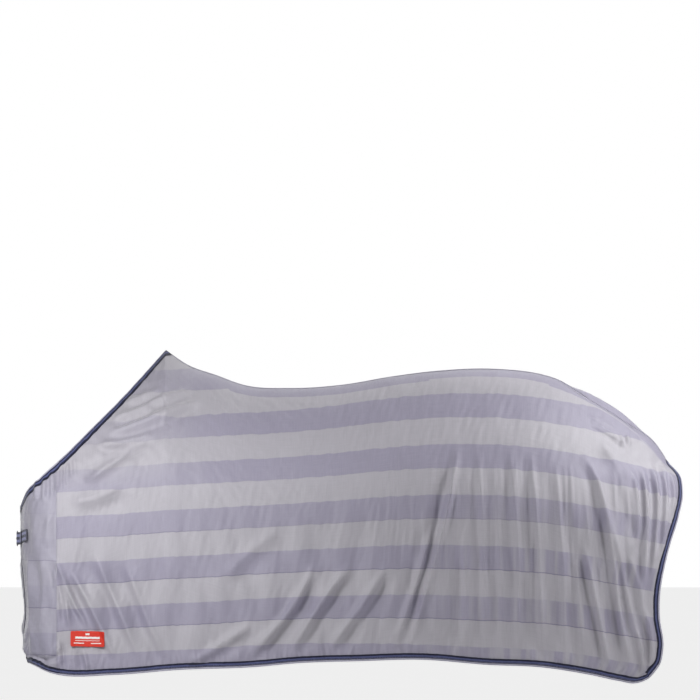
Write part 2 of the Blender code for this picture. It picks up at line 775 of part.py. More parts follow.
def d_ring(collection, look):
    """Wire ring: a straight bar in the keeper and a round bow towards the middle of the chest."""
    half = KEEPER_WIDTH / 2 + WIRE + EYE_ROOM
    straight = RING_DEPTH - half
    points = [(0, -half), (0, half)]
    for step in range(BOW_STEPS + 1):
        angle = math.pi / 2 - math.pi * step / BOW_STEPS
        points.append((straight + half * math.cos(angle), half * math.sin(angle)))
    places = [Vector((axis_x(), RING_BAR - along, STRAP_Z + up)) for along, up in points]
    return wire("d_ring", places, WIRE, collection, look, closed=True)


# -------------------------------------------------------------- assembly


def build():
    clear_scene()
    parts = new_collection("fly_sheet")
    cutters = new_collection("cutters")
    cloth = material("striped_cloth", CLOTH_COLOUR, 0.75, sheen=0.3)
    chest_cloth = material("chest_cloth", CHEST_COLOUR, 0.75, sheen=0.3)
    binding = material("navy_binding", NAVY, 0.8)
    webbing = material("lilac_webbing", LILAC, 0.8)
    red = material("label_cloth", LABEL_COLOUR, 0.7)
    steel = material("nickel_steel", STEEL, 0.3, metallic=1.0)

    chest_face = chest_stations()
    bound_chest = [BAND_WIDTH + GAP, *chest_face[1:]]
    neck = [s for s in body_stations() if s < WITHERS_S]
    for side, label in ((-1, "near"), (1, "far")):
        body_panel("body_panel_" + label, side, parts, cloth)
        top_binding("neck_binding_" + label, neck, side, parts, binding)
        hem_binding("hem_binding_" + label, body_stations(), side, parts, binding)
        tail_binding("tail_binding_" + label, side, parts, binding)
        tail_loop("tail_loop_" + label, side, parts, webbing)
        flap = [
            chest_panel("chest_panel_" + label, side, parts, chest_cloth),
            top_binding("chest_neck_binding_" + label, bound_chest, side, parts, binding),
            hem_binding("chest_hem_binding_" + label, bound_chest, side, parts, binding),
            front_binding("front_binding_" + label, side, parts, binding),
        ]
        hinge = (SEAM_X, side * (float(half_width(SEAM_X)) + BAND_FACE), STRAP_Z)
        hang_on_axis(flap, "chest_hinge_" + label, hinge, parts)
    spine_tape(parts, webbing)
    side_label(parts, red)

    looped_strap("hook_strap", -1, SNAP_BAR, STRAP_REACH, STRAP_WIDTH, parts, webbing)
    looped_strap("ring_keeper", 1, RING_BAR, KEEPER_REACH, KEEPER_WIDTH, parts, webbing)
    eye = snap_eye(parts, cutters, steel)
    hook = snap_hook(parts, cutters, steel)
    spring = snap_spring(parts, steel)
    bolt = snap_bolt(parts, cutters, steel)
    ring = d_ring(parts, steel)
    for obj in (eye, hook, bolt, ring):
        shade_round(obj)
    hang_on_axis([eye, hook, spring, bolt], "snap_bar_axis", along_snap(0), parts)
    hang_on_axis([ring], "ring_bar_axis", (axis_x(), RING_BAR, STRAP_Z), parts)


build()
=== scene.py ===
"""Looks of the horse fly sheet: draped striped cloth, bound edges, straps, label and metal.

The cloth is a surface of two measures: the station s, round the chest and along the body, and the
arc r, over the back from the spine. Folds are heights above that surface. All sizes are in metres.
"""

import math

import bpy
import numpy as np
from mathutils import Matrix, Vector


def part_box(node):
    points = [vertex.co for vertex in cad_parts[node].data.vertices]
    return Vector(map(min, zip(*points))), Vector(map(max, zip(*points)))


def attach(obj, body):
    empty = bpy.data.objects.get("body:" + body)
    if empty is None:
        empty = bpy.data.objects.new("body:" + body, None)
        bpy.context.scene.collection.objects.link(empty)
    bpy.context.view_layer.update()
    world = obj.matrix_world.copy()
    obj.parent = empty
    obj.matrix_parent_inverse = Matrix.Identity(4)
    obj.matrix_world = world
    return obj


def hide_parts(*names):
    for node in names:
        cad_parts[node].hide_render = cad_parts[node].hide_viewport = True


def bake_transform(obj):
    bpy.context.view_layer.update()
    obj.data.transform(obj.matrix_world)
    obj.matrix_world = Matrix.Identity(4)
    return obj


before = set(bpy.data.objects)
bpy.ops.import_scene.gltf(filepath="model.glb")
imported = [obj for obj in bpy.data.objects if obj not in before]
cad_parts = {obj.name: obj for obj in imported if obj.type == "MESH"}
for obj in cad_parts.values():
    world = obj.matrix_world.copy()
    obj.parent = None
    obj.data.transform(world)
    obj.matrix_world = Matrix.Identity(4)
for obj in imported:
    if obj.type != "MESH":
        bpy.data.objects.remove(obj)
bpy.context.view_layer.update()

# ------------------------------------------------------------ sizes shared with the solids

SHEET_LENGTH = 1.931
HALF_WIDTH = 0.280
HEM_LEVEL = -0.790
BACK_ROUND = 0.400
CHEST_X = -0.787
RIDGE = (
    (0.220, 0.111), (0.251, 0.070), (0.297, 0.037), (0.338, 0.009), (0.408, 0.000), (0.488, 0.010),
    (0.562, 0.034), (0.634, 0.051), (0.718, 0.056), (0.792, 0.038), (0.859, -0.013), (0.917, -0.083),
    (0.961, -0.164), (0.980, -0.220),
)
NECK = (
    (0.000, -0.345), (0.010, -0.302), (0.031, -0.260), (0.068, -0.196), (0.112, -0.111),
    (0.152, -0.034), (0.189, 0.044), (0.220, 0.111),
)
HEM = (
    (0.012, -0.010), (0.029, -0.026), (0.060, -0.041), (0.142, -0.041), (0.241, -0.026),
    (0.357, -0.017), (0.420, -0.006), (0.513, 0.000), (0.606, 0.004), (0.706, -0.011),
    (0.784, -0.018), (0.860, -0.041), (0.903, -0.059), (0.929, -0.066), (0.949, -0.051),
)
FRONT_EDGE = (
    (0.0, 0.002), (0.12, 0.003), (0.27, 0.003), (0.45, 0.010), (0.70, 0.015), (0.86, 0.011),
    (1.0, 0.024),
)
TAIL_EDGE = (
    (0.0, 0.0), (0.05, 0.029), (0.118, 0.038), (0.248, 0.025), (0.381, -0.001), (0.632, -0.031),
    (0.706, -0.031), (0.860, -0.021), (0.939, -0.032), (1.0, -0.061),
)
WIDTH = (
    (0.055, 0.860), (0.120, 0.865), (0.250, 0.940), (0.410, 1.000), (0.600, 1.020), (0.770, 0.985),
    (0.900, 0.860), (1.000, 0.690),
)
SEAM_X = CHEST_X + 0.0596 * SHEET_LENGTH
WITHERS_X = CHEST_X + RIDGE[0][0] * SHEET_LENGTH
DOCK_X = CHEST_X + RIDGE[-1][0] * SHEET_LENGTH
TAIL_TURN_X = CHEST_X + 0.770 * SHEET_LENGTH
NECK_RISE = 0.6
ROUND_POWER = 1.54
CHEST_POWER = 2.6
FRONT_GAP = 0.0040
STRAP_Z = -0.437
SNAP_BAR = 0.0745
RING_BAR = 0.0420
STRAP = 0.0014
WIRE = 0.00175

# ------------------------------------------------------------------------ the looks' own sizes

CLOTH = 0.0008
TAPE = 0.0008
STRAP_WIDTH, KEEPER_WIDTH, LOOP_WIDTH, SPINE_WIDTH = 0.036, 0.024, 0.020, 0.030
STRAP_LIFT = 0.0030  # of the chest straps' middle over the plain cloth
BAND_WIDTH = 0.0190
BAND_INSET = 0.0045  # edge of the cloth, inside the fold of its binding
LATTICE = 0.0025  # spacing of the points at which the drape is worked out
DEEPEST_ARC = 1.10
BELOW_HEM = 0.08  # how far the lattice runs on under the hem
STRIPE_PITCH = 0.146
STRIPE_DARK = 0.47  # share of the pitch that is dark
STRIPE_TURNS = 3.5  # pitches between the two lines below, which are (x, z) along two stripes' edges
UPPER_LINE = (
    (-0.80, -0.242), (-0.657, -0.237), (-0.482, -0.228), (-0.365, -0.218), (-0.219, -0.210),
    (-0.073, -0.203), (0.073, -0.193), (0.219, -0.178), (0.365, -0.165), (0.511, -0.161),
    (0.657, -0.166), (0.803, -0.184), (0.876, -0.197), (1.037, -0.231), (1.15, -0.262),
)
LOWER_LINE = (
    (-0.80, -0.712), (-0.657, -0.707), (-0.511, -0.701), (-0.365, -0.692), (-0.219, -0.685),
    (-0.073, -0.675), (0.0, -0.672), (0.219, -0.669), (0.365, -0.669), (0.511, -0.6745),
    (0.657, -0.680), (0.803, -0.692), (0.964, -0.720), (1.05, -0.735), (1.15, -0.752),
)
SPINE_STRIPE = 0.058  # half the width of the dark stripe along the spine
CHEST_PITCH = 0.137
CHEST_FIRST = -0.572  # height of the upper edge of one of the chest's dark stripes
NEAR, FAR = -1, 1
SIDES = ((NEAR, "near"), (FAR, "far"))


# --------------------------------------------------------------------------- plain surface


def smooth(points, x):
    """Height at x of a smooth curve through the points."""
    xs, ys = np.array(points, float).T
    slopes = np.gradient(ys, xs)
    x = np.clip(x, xs[0], xs[-1])
    i = np.clip(np.searchsorted(xs, x) - 1, 0, len(xs) - 2)
    width = xs[i + 1] - xs[i]
    t = (x - xs[i]) / width
    start = (1 - t) ** 2 * ((1 + 2 * t) * ys[i] + t * width * slopes[i])
    end = t * t * ((3 - 2 * t) * ys[i + 1] + (t - 1) * width * slopes[i + 1])
    return start + end


def step(x, low, high):
    """0 below low and 1 above high, smoothly between."""
    t = np.clip((x - low) / (high - low), 0, 1)
    return t * t * (3 - 2 * t)


def share_of(x):
    return (x - CHEST_X) / SHEET_LENGTH


def top_z(x):
    return float(smooth(NECK if x < WITHERS_X else RIDGE, share_of(x)))


def hem_z(x):
    return HEM_LEVEL + float(smooth(HEM, share_of(x)))


def half_width(x):
    return HALF_WIDTH * smooth(WIDTH, share_of(x))


def spine_z(x):
    """Height of the spine line, which runs on above the neck hole."""
    top = top_z(x)
    return top + NECK_RISE * max(top_z(WITHERS_X) - top, 0.0) * (x < WITHERS_X)


def unit(vectors):
    return vectors / np.maximum(np.linalg.norm(vectors, axis=-1, keepdims=True), 1e-9)


def dots(a, b):
    return np.einsum("...k,...k->...", a, b)


def lengths(points):
    """Length along a line of points, at each point."""
    return np.concatenate([[0.0], np.cumsum(np.linalg.norm(np.diff(points, axis=0), axis=1))])


def at_lengths(points, at, wanted):
    """Points at the wanted lengths along a line whose own points are at the lengths at."""
    return np.column_stack([np.interp(wanted, at, points[:, k]) for k in range(points.shape[1])])


def section(x, bottom):
    """(share of the half width, height) down one side at x."""
    turn = np.linspace(0, math.pi / 2, 120)
    height = spine_z(x) - BACK_ROUND * (1 - np.cos(turn))
    drop = np.linspace(height[-1], bottom, 100)[1:]
    return np.append(np.sin(turn) ** ROUND_POWER, np.ones(len(drop))), np.append(height, drop)


def chest_plan():
    """(stations, angles) round the chest, from the front edge to the seam."""
    side = half_width(SEAM_X)
    start = math.asin((FRONT_GAP / 2 / side) ** (CHEST_POWER / 2))
    angles = np.linspace(start, math.pi / 2, 400)
    x = (SEAM_X - CHEST_X) * np.cos(angles).clip(0) ** (2 / CHEST_POWER)
    y = side * np.sin(angles) ** (2 / CHEST_POWER)
    return lengths(np.column_stack([x, y])), angles


PLAN_STATIONS, PLAN_ANGLES = chest_plan()
SEAM_S = float(PLAN_STATIONS[-1])
WITHERS_S = SEAM_S + WITHERS_X - SEAM_X
END_S = SEAM_S + DOCK_X - SEAM_X
SEAM_SHARES, SEAM_HEIGHTS = section(SEAM_X, HEM_LEVEL - BACK_ROUND)
SEAM_WIDTHS = half_width(SEAM_X) * SEAM_SHARES
SEAM_ARCS = lengths(np.column_stack([SEAM_WIDTHS, SEAM_HEIGHTS]))


def chest_turn(s):
    angle = float(np.interp(s, PLAN_STATIONS, PLAN_ANGLES))
    return max(math.cos(angle), 0.0) ** (2 / CHEST_POWER), math.sin(angle) ** (2 / CHEST_POWER)


def chest_column(s):
    forward, sideways = chest_turn(s)
    top, hem = top_z(CHEST_X), hem_z(CHEST_X)
    offset = smooth(FRONT_EDGE, (top - SEAM_HEIGHTS) / (top - hem))
    x = SEAM_X - (SEAM_X - CHEST_X - offset) * forward
    return SEAM_ARCS, np.column_stack([x, SEAM_WIDTHS * sideways, SEAM_HEIGHTS])


def tail_lean(x):
    return float(step(x, TAIL_TURN_X, DOCK_X))


def body_hem_z(x):
    return hem_z(x + tail_lean(x) * TAIL_EDGE[-1][1])


def body_column(s):
    x = SEAM_X + s - SEAM_S
    bottom = body_hem_z(x)
    shares, heights = section(x, bottom - BELOW_HEM)
    dock = top_z(DOCK_X)
    lean = tail_lean(x) * smooth(TAIL_EDGE, (dock - heights) / (dock - bottom))
    widths = half_width(x + lean) * shares
    arcs = lengths(np.column_stack([widths, heights]))
    return arcs, np.column_stack([x + lean, widths, heights])


def edges_of(s, arcs, points):
    """(arc of the upper edge, arc of the hem) at station s."""
    if s < SEAM_S:
        x = SEAM_X - (SEAM_X - CHEST_X) * chest_turn(s)[0]
        top, hem = top_z(x), hem_z(x)
    else:
        x = SEAM_X + s - SEAM_S
        top, hem = top_z(x), body_hem_z(x)
    return [float(np.interp(-height, -points[:, 2], arcs)) for height in (top, hem)]


def lattice():
    """(stations, arcs, points, edges): the plain far side on a fine lattice."""
    chest = np.linspace(0, SEAM_S, round(SEAM_S / LATTICE), endpoint=False)
    body = np.linspace(SEAM_S, END_S, round((END_S - SEAM_S) / LATTICE) + 1)
    stations = np.concatenate([chest, body])
    arcs = np.arange(0, DEEPEST_ARC, LATTICE)
    points, edges = np.zeros((len(stations), len(arcs), 3)), []
    for i, s in enumerate(stations):
        column_arcs, column = chest_column(s) if s < SEAM_S else body_column(s)
        for axis in range(3):
            points[i, :, axis] = np.interp(arcs, column_arcs, column[:, axis])
        beyond = arcs > column_arcs[-1]
        points[i, beyond, 2] -= arcs[beyond] - column_arcs[-1]
        edges.append(edges_of(s, column_arcs, column))
    return stations, arcs, points, np.array(edges)


STATIONS, ARCS, PLAIN, EDGES = lattice()


def top_arc(s):
    return np.interp(s, STATIONS, EDGES[:, 0])


def hem_arc(s):
    return np.interp(s, STATIONS, EDGES[:, 1])


def normals_of(points):
    """Outward normals of a lattice of points on the far side."""
    return unit(np.cross(np.gradient(points, axis=0), np.gradient(points, axis=1)))


PLAIN_NORMALS = normals_of(PLAIN)


# ----------------------------------------------------------------------------------- folds

# Folds seen from the side: (points from one end to the other as (x, z), height, width).
SHOULDER_FOLDS = (
    (((-0.600, -0.272), (-0.540, -0.228), (-0.455, -0.170)), -0.0081, 0.020),
    (((-0.565, -0.168), (-0.510, -0.160), (-0.455, -0.146), (-0.390, -0.128)), 0.0081, 0.010),
    (((-0.540, -0.135), (-0.470, -0.116), (-0.380, -0.080), (-0.240, -0.030)), 0.0081, 0.013),
    (((-0.480, -0.046), (-0.430, -0.026), (-0.370, -0.002)), 0.0063, 0.008),
    (((-0.430, -0.050), (-0.360, -0.026), (-0.280, -0.004)), 0.0063, 0.009),
    (((-0.520, -0.096), (-0.455, -0.070), (-0.390, -0.048)), 0.0054, 0.010),
    (((-0.415, -0.160), (-0.385, -0.118)), 0.0014, 0.007),
    (((-0.375, -0.164), (-0.345, -0.115)), 0.0016, 0.007),
    (((-0.340, -0.160), (-0.305, -0.108)), 0.0014, 0.007),
    (((-0.640, -0.330), (-0.560, -0.318), (-0.470, -0.270)), 0.0054, 0.022),
)
CHEST_FOLDS = (
    (((-0.735, -0.262), (-0.739, -0.330)), 0.0035, 0.006),
    (((-0.712, -0.250), (-0.716, -0.335)), 0.0030, 0.006),
    (((-0.693, -0.236), (-0.688, -0.330)), 0.0035, 0.006),
    (((-0.661, -0.222), (-0.664, -0.300)), 0.0038, 0.006),
    (((-0.645, -0.215), (-0.650, -0.290)), 0.0030, 0.006),
    (((-0.628, -0.200), (-0.622, -0.262)), 0.0024, 0.006),
    (((-0.758, -0.470), (-0.752, -0.600), (-0.752, -0.690), (-0.742, -0.760)), 0.0045, 0.009),
    (((-0.774, -0.745), (-0.752, -0.784), (-0.738, -0.815)), 0.0040, 0.008),
    (((-0.760, -0.765), (-0.721, -0.789), (-0.680, -0.780), (-0.655, -0.758)), -0.0045, 0.008),
    (((-0.722, -0.480), (-0.716, -0.580), (-0.722, -0.690)), 0.0025, 0.012),
    (((-0.700, -0.360), (-0.706, -0.470)), 0.0022, 0.012),
)
LOWER_FRONT_FOLDS = (
    (((-0.690, -0.480), (-0.668, -0.525), (-0.628, -0.620), (-0.580, -0.700)), 0.0078, 0.009),
    (((-0.667, -0.545), (-0.650, -0.615), (-0.640, -0.700)), 0.0059, 0.008),
    (((-0.640, -0.520), (-0.595, -0.600), (-0.545, -0.700), (-0.500, -0.800)), 0.0065, 0.012),
    (((-0.570, -0.470), (-0.520, -0.585), (-0.470, -0.700), (-0.425, -0.800)), 0.0055, 0.014),
    (((-0.480, -0.500), (-0.440, -0.600), (-0.400, -0.700), (-0.350, -0.800)), 0.0047, 0.014),
    (((-0.660, -0.735), (-0.656, -0.815)), -0.0059, 0.007),
    (((-0.600, -0.755), (-0.585, -0.820)), 0.0039, 0.008),
)
MIDDLE_FOLDS = (
    (((-0.300, -0.810), (-0.200, -0.745), (-0.100, -0.680)), 0.0065, 0.013),
    (((-0.130, -0.790), (0.005, -0.640), (0.080, -0.500)), 0.0080, 0.014),
    (((0.000, -0.770), (0.100, -0.612), (0.185, -0.500)), 0.0080, 0.014),
    (((0.105, -0.770), (0.230, -0.600), (0.290, -0.500)), 0.0072, 0.014),
    (((0.492, -0.150), (0.462, -0.330), (0.412, -0.530), (0.336, -0.785)), 0.0094, 0.012),
    (((0.420, -0.380), (0.370, -0.560), (0.300, -0.760)), 0.0052, 0.014),
    (((-0.200, -0.560), (-0.120, -0.480), (-0.020, -0.400)), 0.0032, 0.022),
)
LOWER_REAR_FOLDS = (
    (((0.545, -0.170), (0.560, -0.400), (0.570, -0.800)), 0.0038, 0.011),
    (((0.600, -0.300), (0.612, -0.560), (0.618, -0.800)), 0.0031, 0.012),
    (((0.640, -0.165), (0.660, -0.450), (0.665, -0.800)), 0.0044, 0.011),
    (((0.700, -0.170), (0.722, -0.480), (0.732, -0.810)), 0.0044, 0.011),
    (((0.770, -0.200), (0.792, -0.500), (0.800, -0.810)), 0.0034, 0.013),
    (((0.830, -0.460), (0.842, -0.640), (0.852, -0.820)), 0.0031, 0.010),
    (((0.500, -0.420), (0.512, -0.600), (0.508, -0.790)), 0.0031, 0.012),
)
HINDQUARTER_FOLDS = (
    (((0.845, -0.180), (0.880, -0.240), (0.912, -0.350), (0.930, -0.448), (0.955, -0.640), (0.993, -0.850)),
     0.0085, 0.011),
    (((0.850, -0.440), (0.879, -0.577), (0.911, -0.737), (0.935, -0.850)), 0.0070, 0.010),
    (((0.900, -0.300), (0.945, -0.440), (0.980, -0.600), (1.020, -0.780)), 0.0040, 0.014),
    (((0.967, -0.200), (0.990, -0.300), (1.002, -0.430)), 0.0036, 0.014),
    (((0.985, -0.480), (1.012, -0.570), (1.030, -0.700)), 0.0035, 0.012),
    (((0.900, -0.150), (0.950, -0.230), (0.972, -0.330)), 0.0030, 0.018),
    (((0.865, -0.080), (0.910, -0.100), (0.958, -0.128)), 0.0028, 0.005),
    (((0.870, -0.098), (0.930, -0.130), (0.985, -0.178)), 0.0035, 0.006),
    (((0.962, -0.135), (0.968, -0.165)), 0.0030, 0.005),
    (((0.978, -0.132), (0.990, -0.168)), 0.0026, 0.005),
)
TAIL_FOLDS = (
    (((1.022, -0.215), (1.036, -0.340), (1.032, -0.480), (1.020, -0.620)), 0.0070, 0.009),
    (((1.050, -0.200), (1.068, -0.310), (1.062, -0.440), (1.046, -0.560)), 0.0080, 0.008),
    (((1.078, -0.190), (1.095, -0.300), (1.088, -0.400), (1.075, -0.500)), 0.0080, 0.008),
    (((1.100, -0.230), (1.116, -0.300), (1.106, -0.380)), 0.0060, 0.007),
    (((0.995, -0.230), (1.010, -0.330), (1.010, -0.460)), 0.0050, 0.009),
    (((1.030, -0.640), (1.050, -0.740), (1.048, -0.820)), 0.0045, 0.009),
    (((1.004, -0.690), (1.022, -0.770), (1.030, -0.840)), 0.0040, 0.008),
)
FOLD_GAIN = 2.5  # how much fuller a fold is made than its height above says
STEEPEST_FOLD = 1.5  # height of a fold by its width
GATHER_SPACING = (0.013, 0.026)
FINE_WIDTH = (0.0035, 0.0060)  # half widths of the gathers and of the fine folds
FOLDS = (
    SHOULDER_FOLDS + CHEST_FOLDS + LOWER_FRONT_FOLDS + MIDDLE_FOLDS + LOWER_REAR_FOLDS
    + HINDQUARTER_FOLDS + TAIL_FOLDS
)


def rounded_line(points, count=14):
    """The same line with its corners rounded, as count points."""
    points = np.array(points, float)
    at = lengths(points) / lengths(points)[-1]
    share = np.linspace(0, 1, count)
    return np.column_stack([smooth(np.column_stack([at, column]), share) for column in points.T])


def add_fold(field, x, z, points, height, width):
    """Adds one ridge with a sharper crest, and a valley beside it, to the field of heights."""
    line = rounded_line(points)
    reach = 4 * width
    low, high = line.min(axis=0) - reach, line.max(axis=0) + reach
    near = (x > low[0]) & (x < high[0]) & (z > low[1]) & (z < high[1])
    px, pz = x[near], z[near]
    best = np.full(px.shape, 9.0)
    signed = np.zeros(px.shape)
    share = np.zeros(px.shape)
    for i in range(len(line) - 1):
        a, d = line[i], line[i + 1] - line[i]
        t = np.clip(((px - a[0]) * d[0] + (pz - a[1]) * d[1]) / (d @ d), 0, 1)
        ox, oz = px - a[0] - t * d[0], pz - a[1] - t * d[1]
        distance = np.hypot(ox, oz)
        closer = distance < best
        best = np.where(closer, distance, best)
        signed = np.where(closer, np.where(ox * d[1] - oz * d[0] > 0, distance, -distance), signed)
        share = np.where(closer, (i + t) / (len(line) - 1), share)
    ends = step(share, 0, 0.22) * (1 - step(share, 0.72, 1))
    ridge = 0.7 * np.exp(-((signed / width) ** 2)) + 0.3 * np.exp(-((signed / (0.4 * width)) ** 2))
    valley = np.exp(-(((signed - 1.7 * width) / (1.25 * width)) ** 2))
    height = math.copysign(min(FOLD_GAIN * abs(height), STEEPEST_FOLD * width), height)
    field[near] += height * ends * (ridge - 0.55 * valley)


def add_puckers(field, random, first, last, edge, reach, height, sign=-1):
    """Short gathers square to an edge, at uneven distances along it."""
    s = first
    while s < last:
        s += random.uniform(*GATHER_SPACING)
        width = random.uniform(*FINE_WIDTH)
        tall = reach * random.uniform(0.7, 1.3)
        lean = random.uniform(-0.25, 0.25)
        columns = np.flatnonzero(np.abs(STATIONS - s) < 0.035)
        from_edge = sign * (ARCS[None, :] - edge(STATIONS[columns])[:, None])
        across = (STATIONS[columns][:, None] - s - lean * from_edge) / width
        fade = step(from_edge, 0.0, 0.015) * (1 - step(from_edge, 0.35 * tall, tall))
        field[columns] += height * random.uniform(0.5, 1.2) * np.exp(-(across**2)) * fade


def add_fine_folds(field, random, count):
    """Thin upright folds, close together over the flank and the hindquarter."""
    x, z = PLAIN[..., 0], PLAIN[..., 2]
    for _ in range(count):
        start = random.uniform(0.28, 1.00)
        top = random.uniform(-0.45, -0.16)
        tall = random.uniform(0.12, 0.38)
        lean = 0.22 * (start - 0.62) + random.normal(0, 0.03)
        width = random.uniform(*FINE_WIDTH)
        height = random.uniform(0.0008, 0.0022) * random.choice((-1, 1, 1))
        columns = np.flatnonzero(np.abs(STATIONS - SEAM_S + SEAM_X - start) < 0.16)
        down = top - z[columns]
        across = (x[columns] - start - lean * down) / width
        fade = step(down, 0, 0.3 * tall) * (1 - step(down, 0.6 * tall, tall))
        field[columns] += height * np.exp(-(across**2)) * fade


def drift(random, s, r, waves, shortest, longest, upright):
    """Soft unevenness: a sum of waves whose crests run mostly down the cloth."""
    total = np.zeros(s.shape)
    for _ in range(waves):
        length = random.uniform(shortest, longest)
        turn = random.normal(0, upright)
        phase = random.uniform(0, 2 * math.pi)
        total += np.sin(2 * math.pi * (s * math.cos(turn) + r * math.sin(turn)) / length + phase)
    return total / math.sqrt(waves)


SEEDS = {NEAR: 11, FAR: 23}
FAR_FORWARD = 0.024  # how much further forward the far side's folds lie
HEM_GATHERS = (0.056, 0.0046)  # length and height
NECK_GATHERS = (0.030, 0.0014)
FINE_FOLDS = 150
SWAY = 0.0034  # soft unevenness, mostly of the lower cloth
RIPPLE = 0.0006  # fine unevenness all over
CREASE = 0.0009  # fine creases aslant behind the shoulder
SEAM_HOLLOW = 0.0016  # how far the chest seam draws the cloth in


def fold_heights(side):
    """Height of the folds over the plain cloth, on the lattice."""
    random = np.random.default_rng(SEEDS[side])
    x, z = PLAIN[..., 0] + (0.0 if side == NEAR else FAR_FORWARD), PLAIN[..., 2]
    field = np.zeros(x.shape)
    for points, height, width in FOLDS:
        varied = 1.0 if side == NEAR else random.uniform(0.6, 1.15)
        add_fold(field, x, z, points, height * varied, width)
    add_puckers(field, random, 0.02, END_S - 0.03, hem_arc, *HEM_GATHERS)
    add_puckers(field, random, SEAM_S + 0.03, WITHERS_S - 0.05, top_arc, *NECK_GATHERS, sign=1)
    add_fine_folds(field, random, FINE_FOLDS)
    s, r = np.meshgrid(STATIONS, ARCS, indexing="ij")
    lower = step(r, 0.25, 0.80)
    field += SWAY * drift(random, s, r, 9, 0.060, 0.170, 0.35) * (0.15 + 0.85 * lower)
    field += RIPPLE * drift(random, s, r, 9, 0.016, 0.040, 0.9)
    shoulder = step(s, 0.25, 0.45) * (1 - step(s, 0.85, 1.15))
    shoulder = shoulder * step(r, 0.03, 0.12) * (1 - step(r, 0.35, 0.55))
    aslant, along = r * 0.8 - s * 0.5, s * 0.8 + r * 0.5
    field += CREASE * shoulder * drift(random, aslant, along, 8, 0.020, 0.055, 0.25)
    field -= SEAM_HOLLOW * np.exp(-(((s - SEAM_S + 0.011) / 0.006) ** 2))
    from_hem = hem_arc(STATIONS)[:, None] - ARCS[None, :]
    from_top = ARCS[None, :] - top_arc(STATIONS)[:, None]
    edge = 0.35 + 0.65 * step(np.minimum(from_hem, from_top), 0.004, 0.030)
    spine = np.where(s > WITHERS_S - 0.06, step(r, 0.004, 0.080), 1.0)
    front = step(s, 0.0, 0.060)
    end = 0.5 + 0.5 * (1 - step(s, END_S - 0.020, END_S))
    return field * edge * spine * front * end


def croup_share(x):
    return step(x, 0.760, 0.905) * (1 - step(x, 0.955, 1.085))


SEAM_DIP = 0.022  # how far the spine seam is drawn down at the croup
CROUP_FULL = 0.045  # how far the far half stands out beyond the seam there


def far_croup(share):
    """Rise of the far half beside the drawn-down seam, so that the outline stays that of the back."""
    shift = CROUP_FULL * share * (1 - step(ARCS[None, :], CROUP_FULL, 4 * CROUP_FULL))
    from_crest = np.maximum(ARCS[None, :] - shift, 0)
    plain = PLAIN[..., 2]
    rise = np.array([np.interp(crest, ARCS, column) - column for crest, column in zip(from_crest, plain)])
    dip = SEAM_DIP * share * (1 - step(ARCS[None, :] / CROUP_FULL, 0, 1))
    return rise - dip


def draped(side):
    """(points, normals) of the folded cloth on the lattice, for one side."""
    points = PLAIN + PLAIN_NORMALS * fold_heights(side)[..., None]
    share = croup_share(PLAIN[..., 0])
    r = ARCS[None, :]
    if side == NEAR:
        points[..., 2] -= SEAM_DIP * share * np.exp(-((r / 0.035) ** 2))
    else:
        points[..., 2] += far_croup(share)
    normals = normals_of(points)
    mirror = np.array([1.0, side, 1.0])
    return points * mirror, normals * mirror


DRAPED = {side: draped(side) for side, _ in SIDES}


def between(values, s, r):
    """Values of a lattice at any stations and arcs."""
    i = np.interp(s, STATIONS, np.arange(len(STATIONS)))
    j = np.clip(np.asarray(r) / LATTICE, 0, len(ARCS) - 1.001)
    i0 = np.minimum(i.astype(int), len(STATIONS) - 2)
    j0 = j.astype(int)
    u, v = (i - i0)[..., None], (j - j0)[..., None]
    low = values[i0, j0] * (1 - v) + values[i0, j0 + 1] * v
    high = values[i0 + 1, j0] * (1 - v) + values[i0 + 1, j0 + 1] * v
    return low * (1 - u) + high * u


def on_cloth(side, s, r, lift=0.0):
    """Points on the draped cloth, lifted outwards."""
    s, r = np.broadcast_arrays(np.asarray(s, float), np.asarray(r, float))
    points, normals = DRAPED[side]
    return between(points, s, r) + between(normals, s, r) * np.asarray(lift)[..., None]


def outward(side, s, r):
    """Normals of the draped cloth."""
    s, r = np.broadcast_arrays(np.asarray(s, float), np.asarray(r, float))
    return unit(between(DRAPED[side][1], s, r))


def arc_at(s, z):
    """Arc at which the plain cloth passes the height z."""
    s, z = np.broadcast_arrays(np.asarray(s, float), np.asarray(z, float))
    index = np.interp(s, STATIONS, np.arange(len(STATIONS))).round().astype(int)
    flat = [np.interp(-b, -PLAIN[a, :, 2], ARCS) for a, b in zip(index.ravel(), z.ravel())]
    return np.array(flat).reshape(s.shape)


# ------------------------------------------------------------------------------- mesh making


def new_object(name, vertices, faces, look, body, place):
    """A mesh object from points and faces, with its surface coordinates in the attribute 'place'."""
    mesh = bpy.data.meshes.new(name)
    mesh.from_pydata(np.asarray(vertices, float).reshape(-1, 3).tolist(), [], faces)
    layer = mesh.attributes.new("place", "FLOAT_VECTOR", "POINT")
    layer.data.foreach_set("vector", np.asarray(place, np.float32).ravel())
    mesh.shade_smooth()
    mesh.materials.append(look)
    obj = bpy.data.objects.new(name, mesh)
    bpy.context.scene.collection.objects.link(obj)
    if body:
        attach(obj, body)
    return obj


def places(*parts):
    """Surface coordinates from three arrays that broadcast together."""
    return np.stack(np.broadcast_arrays(*parts), axis=-1)


def grid_faces(rows, columns, start=0, flip=False, closed=False):
    """Quads of a grid of rows x columns points, the columns joined round if closed."""
    across = columns if closed else columns - 1
    i, j = np.meshgrid(np.arange(rows - 1), np.arange(across), indexing="ij")
    k = (j + 1) % columns
    here, below = i * columns, (i + 1) * columns
    quads = np.stack([here + j, below + j, below + k, here + k], axis=-1).reshape(-1, 4) + start
    return (quads[:, ::-1] if flip else quads).tolist()


